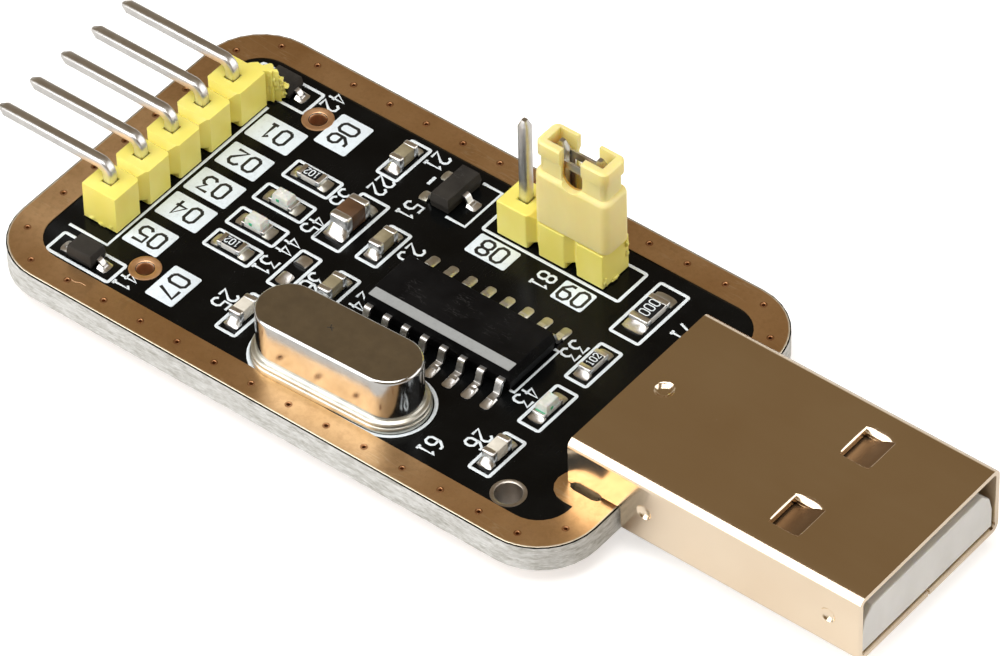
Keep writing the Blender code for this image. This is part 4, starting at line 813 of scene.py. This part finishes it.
smallFacts = ("length", "width", "height", "share", "round", "reach", "slot")
smallKinds = {name: dict(zip(smallFacts, facts)) for name, facts in {
    "capacitor": (1.6, 0.82, 0.84, 0.25, 0.10, 0.42, "capacitor_ceramic"),
    "largeCapacitor": (2.05, 1.25, 1.2, 0.27, 0.16, 0.60, "capacitor_brown"),
    "resistor": (1.6, 0.82, 0.45, 0.2, 0.05, 0.44, "resistor_black"),
    "fuse": (2.05, 1.25, 0.45, 0.2, 0.06, 0.62, "resistor_black"),
    "light": (1.6, 0.82, 0.72, 0.17, 0.04, 0.42, "led_clear"),
}.items()}
smallParts = {      # kind, place, degrees that its length turns from X, look of its body
    "capacitor_1": ("capacitor", (-5.54, 7.52), 90, ceramicGrey),
    "capacitor_2": ("largeCapacitor", (-4.81, 2.10), 90, ceramicBrown),
    "capacitor_3": ("capacitor", (-2.26, 1.74), 90, ceramicGrey),
    "capacitor_4": ("capacitor", (-2.23, -2.58), 90, ceramicGrey),
    "capacitor_5": ("capacitor", (-4.88, -6.71), 90, ceramicPale),
    "capacitor_6": ("capacitor", (12.16, -6.66), 90, ceramicPale),
    "fuse_link": ("fuse", (12.10, 6.33), 90, alumina),
    "resistor_1": ("resistor", (-8.58, -3.21), 0, alumina),
    "resistor_3": ("resistor", (12.11, 1.51), 90, alumina),
    "resistor_5": ("resistor", (-8.55, 3.43), 0, alumina),
    "indicator_led_3": ("light", (12.17, -2.43), 90, lens),
    "indicator_led_4": ("light", (-8.57, -1.19), 0, lens),
    "indicator_led_5": ("light", (-8.58, 1.10), 0, lens),
}
codes = {           # text, degrees that it turns, height
    "resistor_1": ("102", 180, 0.44), "resistor_5": ("102", 180, 0.44), "resistor_3": ("102", 90, 0.44),
    "fuse_link": ("000", 90, 0.62),
}
codeFacts = {"section": (0.075, 0.02, 0.47), "wide": 0.5}
emptyPads = {"place": (-4.86, -2.58), "spread": 0.83, "half": 0.4, "tall": 0.2}


def makeSmallPart(node, kind, place, turn, body, seed):
    facts = smallKinds[kind]
    half, side, top, rounding = facts["length"] / 2, facts["width"] / 2, facts["height"], facts["round"]
    end = facts["length"] * facts["share"]
    bm = bmesh.new()
    # Painted 0 body, 1 solder, 2 solder darkened as painted shade, 3 film, 4 green marks, 5 base of a light
    if kind == "light":
        addBlock(bm, (-half + 0.06, -side, 0.035), (half - 0.06, side, 0.27), 0.02)
        paint(bm, 5)
        addStack(bm, boxShape(-half * 0.72, -side * 0.97, half * 0.72, side * 0.97, 0.06),
                 [(0.275, 0), (top - 0.1, 0.05), (top - 0.03, 0.08), (top, 0.14)])
        paint(bm, 0)
        addBlock(bm, (-half + 0.13, -side * 0.75, 0.27), (-half * 0.72 - 0.02, side * 0.75, 0.31), 0.01)
        addBlock(bm, (-half * 0.30, -side * 0.98, 0.30), (-half * 0.05, -side * 0.9, top - 0.25), 0.01)
        paint(bm, 4)
        ends = 0.30
    else:
        addBlock(bm, (-half + 0.05, -side + 0.03, 0.04), (half - 0.05, side - 0.03, top - 0.025),
                 rounding * 0.7)
        paint(bm, 0)
        ends = top
    if kind in ("resistor", "fuse"):
        film = half - end * 0.95
        addStack(bm, boxShape(-film, -side + 0.07, film, side - 0.07, 0.05),
                 [(top - 0.03, 0), (top + 0.005, 0), (top + 0.015, 0.03)])
        paint(bm, 3)
    for way in (-1, 1):
        low, high = sorted((way * half, way * (half - end)))
        addBlock(bm, (low, -side, 0.03), (high, side, ends), rounding, 3)
        paint(bm, 1)
    reach = half + facts["reach"]
    addSolder(bm, -reach, -half + 0.10, side + 0.04, ends * 0.62, 1, seed=seed)
    paint(bm, 1)
    # The solder at this end is painted darker, as painted shade
    addSolder(bm, half - 0.10, reach, side + 0.04, ends * 0.50, -1, seed=seed + 5)
    paint(bm, 2)
    setDown(bm, *place, turn)
    finishPiece(node + "_fine", bm, [body, solder, shadedSolder, filmBlack, greenMark, alumina],
                (node,), sharp=40)


def makeCodes():
    strokes = []
    for node, (text, turn, tall) in codes.items():
        x, y = smallParts[node][1]
        strokes += numberStrokes(text, x, y, tall, turn, codeFacts["wide"])
    placeRibbons("partCodes", strokes, codeFacts["section"], whitePrint)


def makeEmptyPads():
    # The two bare pads of the place that carries no part
    (x, y), half = emptyPads["place"], emptyPads["half"]
    across = Matrix.Rotation(math.pi / 2, 4, "Z")
    bm = bmesh.new()
    for way in (-1, 1):
        place = Matrix.Translation((x, y + way * emptyPads["spread"], 0)) @ across
        addSolder(bm, -half, half, half, emptyPads["tall"], -way, place, way * 3.1)
    finishPiece("emptyPads", bm, [solder])


for seed, (node, facts) in enumerate(smallParts.items()):
    makeSmallPart(node, *facts, seed * 1.7)
makeCodes()
makeEmptyPads()


# Moulded packages with bent leads

print("packages")

packages = {
    "serial_chip": {"place": (5.02, -0.84), "turn": 0, "length": 9.9, "width": 3.9, "height": 1.52,
                    "draft": 0.13, "standoff": 0.12, "parting": 0.85, "sheet": 0.2, "leadWidth": 0.42,
                    "span": 6.1, "padReach": 0.62, "padWidth": 0.60, "look": epoxy,
                    "leads": [(-4.445 + 1.27 * index, side) for index in range(8) for side in (-1, 1)]},
    "regulator": {"place": (-1.58, 7.05), "turn": 90, "length": 2.9, "width": 1.32, "height": 1.08,
                  "draft": 0.08, "standoff": 0.08, "parting": 0.58, "sheet": 0.15, "leadWidth": 0.42,
                  "span": 2.5, "padReach": 0.34, "padWidth": 0.74, "look": diodeEpoxy,
                  "leads": [(-0.95, 1), (0.95, 1), (0, -1)]},
    "diode_1": {"place": (-14.3, -8.48), "turn": 0, "length": 1.75, "width": 1.3, "height": 0.95,
                "draft": 0.07, "standoff": 0.06, "parting": 0.42, "sheet": 0.15, "leadWidth": 0.34,
                "span": 2.6, "padReach": 0.30, "padWidth": 0.80, "look": diodeEpoxy, "leads": [],
                "ends": True},
}
packages["diode_2"] = {**packages["diode_1"], "place": (-14.3, 8.0)}
stripe = {"box": (0.35, -2.67, 9.80, -2.01), "round": 0.05, "levels": [(1.51, 0), (1.532, 0)]}


def rounded(points, radius, steps=4):
    # Corners of an open path turned into short curves
    path = [Vector(points[0])]
    for before, corner, after in zip(points, points[1:], points[2:]):
        before, corner, after = Vector(before), Vector(corner), Vector(after)
        start = corner + (before - corner).normalized() * radius
        end = corner + (after - corner).normalized() * radius
        for step in range(steps + 1):
            t = step / steps
            path.append(start * (1 - t) ** 2 + corner * 2 * t * (1 - t) + end * t ** 2)
    return path + [Vector(points[-1])]


def addLead(bm, place, bodyHalf, spanHalf, parting, sheet, width):
    # A bent strip: its side view as one face, drawn out across its width
    foot = sheet / 2 + 0.02
    path = rounded([(bodyHalf - 0.2, parting), (bodyHalf + 0.24, parting), (bodyHalf + 0.48, foot),
                    (spanHalf, foot)], 0.13)
    upper, lower = [], []
    for index, point in enumerate(path):
        ahead = path[min(index + 1, len(path) - 1)] - path[max(index - 1, 0)]
        across = Vector((-ahead.y, ahead.x)).normalized() * sheet / 2
        upper.append(point + across)
        lower.append(point - across)
    face = bm.faces.new([bm.verts.new((x, -width / 2, z)) for x, z in upper + lower[::-1]])
    start = list(face.verts)
    tip = grow(bm, face, (0, width, 0))
    bmesh.ops.transform(bm, matrix=place, verts=start + list(tip.verts))


def makePackage(node, facts):
    bm = bmesh.new()
    halfX, halfY = facts["length"] / 2, facts["width"] / 2
    draft, top, parting, low = facts["draft"], facts["height"], facts["parting"], facts["standoff"]
    addStack(bm, boxShape(-halfX, -halfY, halfX, halfY, 0.06, 2),
             [(low, draft + 0.03), (low + 0.03, draft), (parting - 0.03, 0.01), (parting, 0),
              (parting + 0.03, 0.01), (top - 0.07, draft), (top - 0.02, draft + 0.025), (top, draft + 0.08)])
    paint(bm, 0)
    leads = [(Matrix.Translation((x, 0, 0)) @ Matrix.Rotation(math.radians(90 * side), 4, "Z"), halfY)
             for x, side in facts["leads"]]
    if facts.get("ends"):
        leads += [(Matrix.Rotation(math.radians(90 - 90 * side), 4, "Z"), halfX) for side in (-1, 1)]
    reach = facts["span"] / 2
    for place, half in leads:
        start = half if facts["span"] > 2 * half + 1.2 else half - 0.12
        addLead(bm, place, start, reach, parting, facts["sheet"], facts["leadWidth"])
        paint(bm, 1)
    end, side = reach + facts["padReach"], facts["padWidth"] / 2
    for index, (place, half) in enumerate(leads):
        # The solder on the far side is painted darker, as painted shade
        away = (place @ Vector((1, 0, 0)) - place.translation).y > 0.5
        addSolder(bm, reach - 0.28, end, side, 0.22, -1, place, index * 2.3)
        paint(bm, 2 if away else 3)
    setDown(bm, *facts["place"], facts["turn"])
    finishPiece(node + "_fine", bm, [facts["look"], tin, shadedSolder, solder], (node,),
                sharp=34, bevel=0.02)


def makeStripe():
    bm = bmesh.new()
    addStack(bm, boxShape(*stripe["box"], stripe["round"], 3), stripe["levels"])
    finishPiece("chipStripe", bm, [greyPrint])


for node, facts in packages.items():
    makePackage(node, facts)
makeStripe()


# Crystal

print("crystal")

crystal = {
    "place": (2.25, -7.33), "turn": 2.0, "length": 10.25, "width": 3.65, "top": 3.5, "edge": 0.2,
    "scratches": (((-0.73, -0.05), (-0.39, 0.10)), ((-0.55, 0.02), (-0.65, 0.24)),
                  ((-0.53, 0.03), (-0.33, -0.12))),
    "flare": [(0.44, -0.20), (0.46, -0.27), (0.50, -0.295), (0.56, -0.30), (0.62, -0.29), (0.67, -0.25),
              (0.70, -0.17), (0.72, -0.09), (0.76, -0.03), (0.82, -0.006), (0.84, 0.05)],
    "base": [(0.035, -0.28), (0.05, -0.33), (0.10, -0.355), (0.28, -0.355), (0.36, -0.34), (0.41, -0.30),
             (0.43, -0.22)],
}


def makeCrystal():
    shape = stadiumShape(crystal["length"], crystal["width"], 28)
    top, edge = crystal["top"], crystal["edge"]
    bm = bmesh.new()
    # Extra levels keep the wall flat beside its edges
    levels = [(0.6, 0.0), (0.86, 0.0), (top - edge - 0.05, 0.0)]
    levels += [(top - edge + rise, inset) for inset, rise in arcPoints(edge, 0, edge, 180, 90, 9)]
    addStack(bm, shape, levels + [(top, edge + 0.12)])
    paint(bm, 0)
    for start, end in crystal["scratches"]:
        middle, along = (Vector(start) + Vector(end)) / 2, Vector(end) - Vector(start)
        reach = Vector((along.length / 2, 0.022))
        addBlock(bm, (*(middle - reach), top - 0.004), (*(middle + reach), top + 0.006),
                 turn=Matrix.Rotation(math.atan2(along.y, along.x), 4, "Z"))
    paint(bm, 2)
    # The flare at the foot of the can takes the darker look: painted shade near the board
    addStack(bm, shape, crystal["flare"])
    paint(bm, 1)
    setDown(bm, *crystal["place"], crystal["turn"])
    finishPiece("crystal_can_fine", bm, [canMetal, shadedSolder, diodeEpoxy],
                ("crystal_can",), sharp=50)
    bm = bmesh.new()
    # The base takes the same darker look: painted shade near the board
    addStack(bm, shape, crystal["base"])
    setDown(bm, *crystal["place"], crystal["turn"])
    finishPiece("crystal_base_fine", bm, [shadedSolder], ("crystal_base",), sharp=50)


makeCrystal()


# Header and jumper pins

print("pins")

pins = {
    "side": 0.64, "edge": 0.16, "point": 0.42, "pointScale": 0.45, "tail": -2.85, "coneRadius": 0.82,
    "cone": [(laid, 0), (0.05, 0.01), (0.2, 0.16), (0.42, 0.33), (0.62, 0.43), (0.76, 0.5)],
    "header": {"x": -15.38, "run": 3.55, "bend": 0.62, "tip": -23.05,
               "rows": (-5.08, -2.54, 0.0, 2.54, 5.08)},
    "jumper": {"y": 7.3, "top": 8.2, "columns": (3.11, 5.65, 8.19)},
}


def startPin(bm, x, y):
    half = pins["side"] / 2
    outline = roundedBox(x - half, y - half, x + half, y + half, pins["edge"], 3)
    face = flatFace(bm, outline, pins["tail"])
    middle = face.calc_center_median()
    for vert in face.verts:
        vert.co = middle + (vert.co - middle) * pins["pointScale"]
    return grow(bm, face, (0, 0, pins["point"]), 1 / pins["pointScale"])


def finishPin(node, bm, x, y):
    # With solder drawn up around its tail, under the board
    paint(bm, 0)
    addDrop(bm, circleShape(x, y, pins["coneRadius"]), pins["cone"])
    paint(bm, 1)
    finishPiece(node + "_fine", bm, [tin, solder], (node,), sharp=40)


def makePins():
    point, tail = pins["point"], pins["tail"]
    facts = pins["header"]
    x, bend, run = facts["x"], facts["bend"], facts["run"]
    for number, y in enumerate(facts["rows"], 1):
        bm = bmesh.new()
        face = grow(bm, startPin(bm, x, y), (0, 0, run - bend - tail - point))
        turned = bmesh.ops.spin(bm, geom=whole(face), cent=(x - bend, y, run - bend), axis=(0, 1, 0),
                                angle=-math.pi / 2, steps=10)["geom_last"]
        face = grow(bm, facesOf(turned)[0], (facts["tip"] + point - (x - bend), 0, 0))
        grow(bm, face, (-point, 0, 0), pins["pointScale"])
        finishPin(f"header_pin_{number}", bm, x, y)
    facts = pins["jumper"]
    y = facts["y"]
    for number, x in enumerate(facts["columns"], 1):
        bm = bmesh.new()
        face = grow(bm, startPin(bm, x, y), (0, 0, facts["top"] - tail - 2 * point))
        grow(bm, face, (0, 0, point), pins["pointScale"])
        finishPin(f"jumper_pin_{number}", bm, x, y)


makePins()


# Plastic of the two headers, the cap and the plug

print("housings and plug")

torn = (    # crumbs of plastic where a block was broken away: place, size, squash
    ((-14.35, 6.95, 0.9), 0.42, (0.8, 0.7, 1.4)), ((-13.95, 7.1, 1.2), 0.34, (0.9, 0.7, 1.2)),
    ((-14.2, 6.85, 1.9), 0.34, (0.9, 0.8, 0.9)), ((-13.85, 7.25, 0.6), 0.28, (1.0, 0.6, 1.0)),
    ((-14.6, 6.75, 1.6), 0.40, (0.9, 0.7, 1.3)), ((-15.9, 6.5, 0.8), 0.30, (0.8, 0.6, 1.3)),
    ((-13.75, 7.05, 1.7), 0.22, (1.0, 0.8, 1.0)), ((-13.6, 7.3, 1.1), 0.20, (1.0, 0.9, 0.9)),
    ((-13.9, 7.35, 0.25), 0.22, (1.2, 0.8, 0.8)), ((-14.5, 7.1, 2.15), 0.24, (1.2, 0.8, 0.7)),
    ((-15.9, -6.12, 0.22), 0.20, (1.6, 0.5, 0.8)), ((-15.2, -6.14, 0.16), 0.18, (1.5, 0.5, 0.7)),
    ((-14.6, -6.10, 0.30), 0.20, (0.9, 0.5, 1.2)), ((-14.3, -5.9, 0.2), 0.16, (0.7, 0.9, 0.9)),
    ((9.12, 6.4, 0.5), 0.20, (0.5, 0.7, 1.6)), ((9.15, 8.2, 2.0), 0.18, (0.6, 0.7, 1.4)),
    ((9.12, 8.25, 1.2), 0.16, (0.5, 0.7, 1.6)), ((9.14, 7.2, 0.2), 0.16, (0.5, 1.8, 0.7)))


def makeTorn():
    bm = bmesh.new()
    for index, (place, size, squash) in enumerate(torn):
        addClump(bm, *place, size, index * 3.3, squash)
    finishPiece("tornPlastic", bm, [headerPlastic], sharp=60)


makeTorn()
refine("header_housing", headerPlastic, 0.13, 3)
refine("jumper_housing", headerPlastic, 0.13, 3)
refine("jumper_cap", capPlastic, 0.16, 4)
refine("jumper_clip", tin, 0.03)

plug = {
    "top": 3.05,
    "windows": {"x": (28.02, 29.70), "spread": 3.0, "half": 1.12, "round": 0.30, "rim": 0.16,
                "back": 0.12, "far": 0.2, "farLip": 0.50, "backLip": 0.20},
    "flap": {"hinge": 29.80, "run": 2.0, "drop": 0.56, "sheet": 0.26, "half": 1.16, "sunk": 0.02},
    "marks": (      # place, radius, and the way that each faces
        ((17.98, 0, 3.05), 0.60, (0, 0, 1)), ((21.27, -6.0, 0.9), 0.48, (0, -1, 0)),
        ((33.04, -6.0, 0.9), 0.48, (0, -1, 0)), ((21.27, 6.0, 0.9), 0.48, (0, 1, 0)),
        ((33.04, 6.0, 0.9), 0.48, (0, 1, 0))),
}


def addLip(bm, start, end, radius, point):
    # A strip of sheet rolled down into a window, widest half way along
    rings = []
    for step in range(13):
        along = start + (end - start) * step / 12
        roll = radius * (1 - 0.7 * abs(step / 6 - 1) ** 3)
        line = [(-0.1, -0.03), (-0.01, -0.004)]
        line += [(out, up - 0.004) for out, up in arcPoints(radius - roll, -roll, roll, 90, 0, 10)]
        line += [(radius, -0.42), (-0.1, -0.42)]
        rings.append([point(along, out, up) for out, up in line])
    addLoft(bm, rings)


def makeShell():
    facts, top = plug["windows"], plug["top"]
    (x0, x1), half, rim = facts["x"], facts["half"], facts["rim"]
    cutter = bmesh.new()
    back, far = x0 - facts["back"], half + facts["far"]
    curve = [(top - rim + rise, out - rim) for out, rise in arcPoints(0, 0, rim, 0, 90, 15)]
    for y in (-facts["spread"], facts["spread"]):
        addStack(cutter, boxShape(back, y - half, x1, y + far, facts["round"], 6),
                 [(1.2, 0), *curve, (top + 0.3, -rim)])
    for place, radius, axis in plug["marks"]:
        before = set(cutter.verts)
        addStack(cutter, circleShape(0, 0, radius, 40),
                 [(-0.22, radius * 0.62), (-0.20, radius * 0.5), (-0.14, radius * 0.30),
                  (-0.05, radius * 0.12), (0.0, radius * 0.02), (0.2, -0.02)])
        turn = Vector((0, 0, 1)).rotation_difference(Vector(axis)).to_matrix().to_4x4()
        bmesh.ops.transform(cutter, matrix=Matrix.Translation(place) @ turn,
                            verts=[vert for vert in cutter.verts if vert not in before])
    refine("usb_shell", plugMetal, 0.05, 3, cutter)


def makeFlaps():
    facts = plug["flap"]
    hinge, top = facts["hinge"], plug["top"] - facts["sunk"]
    line = [(hinge + 0.12, top)]
    for step in range(17):
        share = step / 16
        drop = facts["drop"] * math.sin(share * math.pi / 2) ** 1.5
        line.append((hinge - facts["run"] * share, top - drop))
    line += [(x, z - facts["sheet"]) for x, z in reversed(line)]
    bm = bmesh.new()
    for side in (-1, 1):
        y = side * plug["windows"]["spread"] - facts["half"]
        face = bm.faces.new([bm.verts.new((x, y, z)) for x, z in line])
        grow(bm, face, (0, 2 * facts["half"], 0))
    # The flaps take the darkened sheet look: painted shade inside the windows
    finishPiece("windowFlaps", bm, [shadedFlapMetal], sharp=40, bevel=0.05, segments=3)


def makeLips():
    facts, top = plug["windows"], plug["top"]
    (x0, x1), half, rim = facts["x"], facts["half"], facts["rim"]
    back = x0 - facts["back"] - rim
    bm = bmesh.new()
    for y in (-facts["spread"], facts["spread"]):
        far = y + half + facts["far"] + rim
        near = y - half - rim
        addLip(bm, back, x1 + rim, facts["farLip"], lambda along, out, up: (along, far - out, top + up))
        addLip(bm, near, far, facts["backLip"], lambda along, out, up: (back + out, along, top + up))
    finishPiece("windowLips", bm, [plugMetal], sharp=50)


makeShell()
makeFlaps()
makeLips()
refine("usb_insulator", tonguePlastic, 0.12, 3)


# Camera, light and floor

print("camera and light")

view = {
    "place": (193.49, -224.90, 292.62),       # millimetres, from the middle of the board's top
    "right": (0.78243, 0.62242, -0.02013),
    "down": (0.42884, -0.56196, -0.70731),
    "ahead": (-0.45156, 0.54479, -0.70661),
    "lens": 283.13,
}


def makeCamera():
    camera = addObject("camera", bpy.data.cameras.new("camera"))
    camera.data.sensor_width = 36
    camera.data.lens = view["lens"]
    camera.data.clip_start = 0.01
    camera.data.clip_end = 20
    right, down, ahead = Vector(view["right"]), Vector(view["down"]), Vector(view["ahead"])
    turn = Matrix((right, -down, -ahead)).transposed().to_4x4()
    camera.matrix_world = Matrix.Translation(toFrame @ Vector(view["place"])) @ turn
    bpy.context.scene.camera = camera


# Each light: direction it stands in, distance, size and power
lights = {
    "keyNearLeft": {"from": (-0.50, -0.72, 0.62), "away": 0.55, "size": (0.42, 0.80), "watts": 3.2},
    "overhead": {"from": (0.10, -0.15, 1.0), "away": 0.60, "size": (0.40, 0.40), "watts": 2.0},
    "fillRight": {"from": (0.74, 0.52, 0.44), "away": 0.60, "size": (0.46, 0.46), "watts": 1.3},
}

# Pale low walls under a dim warm ceiling, by the height that a ray rises
studio = [(0.0, (0.76, 0.72, 0.66)), (0.17, (0.60, 0.55, 0.48)), (0.36, (0.20, 0.138, 0.074)),
          (1.0, (0.20, 0.138, 0.074))]


def makeLights():
    for name, facts in lights.items():
        lamp = bpy.data.lights.new(name, "AREA")
        lamp.shape = "RECTANGLE"
        lamp.size, lamp.size_y = facts["size"]
        lamp.energy = facts["watts"]
        away = Vector(facts["from"]).normalized()
        turn = away.to_track_quat("Z", "Y").to_matrix().to_4x4()
        addObject(name, lamp).matrix_world = Matrix.Translation(away * facts["away"]) @ turn
    world = bpy.data.worlds.new("studio")
    world.use_nodes = True
    background = world.node_tree.nodes["Background"]
    wire = Wire(world.node_tree)
    path = wire.node("LightPath", {}, {}, "Is Camera Ray")
    sky = wire.node("TexCoord", {}, {}, "Generated")
    height = wire.node("SeparateXYZ", {}, {0: sky}, "Z")
    wall = wire.node("ValToRGB", {"stops": studio}, {0: height})
    level = wire.node("Mix", {"data_type": "RGBA"}, {0: path, 6: wall, 7: (1, 1, 1)}, 2)
    feed(background.inputs["Color"], level)
    bpy.context.scene.world = world


floorFacts = {"size": 3.0, "colour": (0.73, 0.73, 0.73), "glow": 0.6, "mirrored": 0.05}


def makeFloor():
    bm = bmesh.new()
    bmesh.ops.create_grid(bm, x_segments=2, y_segments=2, size=floorFacts["size"] / 2)
    floor = addObject("floor", toMesh("floor", bm))
    look = Look("floorPaper", Roughness=0.9, Specular_IOR_Level=0.0, Emission_Strength=1.0)
    look.set("Base Color", floorFacts["colour"])
    camera = look.wire.node("LightPath", {}, {}, "Is Camera Ray")
    glossy = look.wire.node("LightPath", {}, {}, "Is Glossy Ray")
    look.set("Emission Color", camera * floorFacts["glow"] + glossy * floorFacts["mirrored"])
    floor.data.materials.append(look.material)


makeCamera()
makeLights()
makeFloor()

bpy.context.scene.view_settings.view_transform = "Standard"
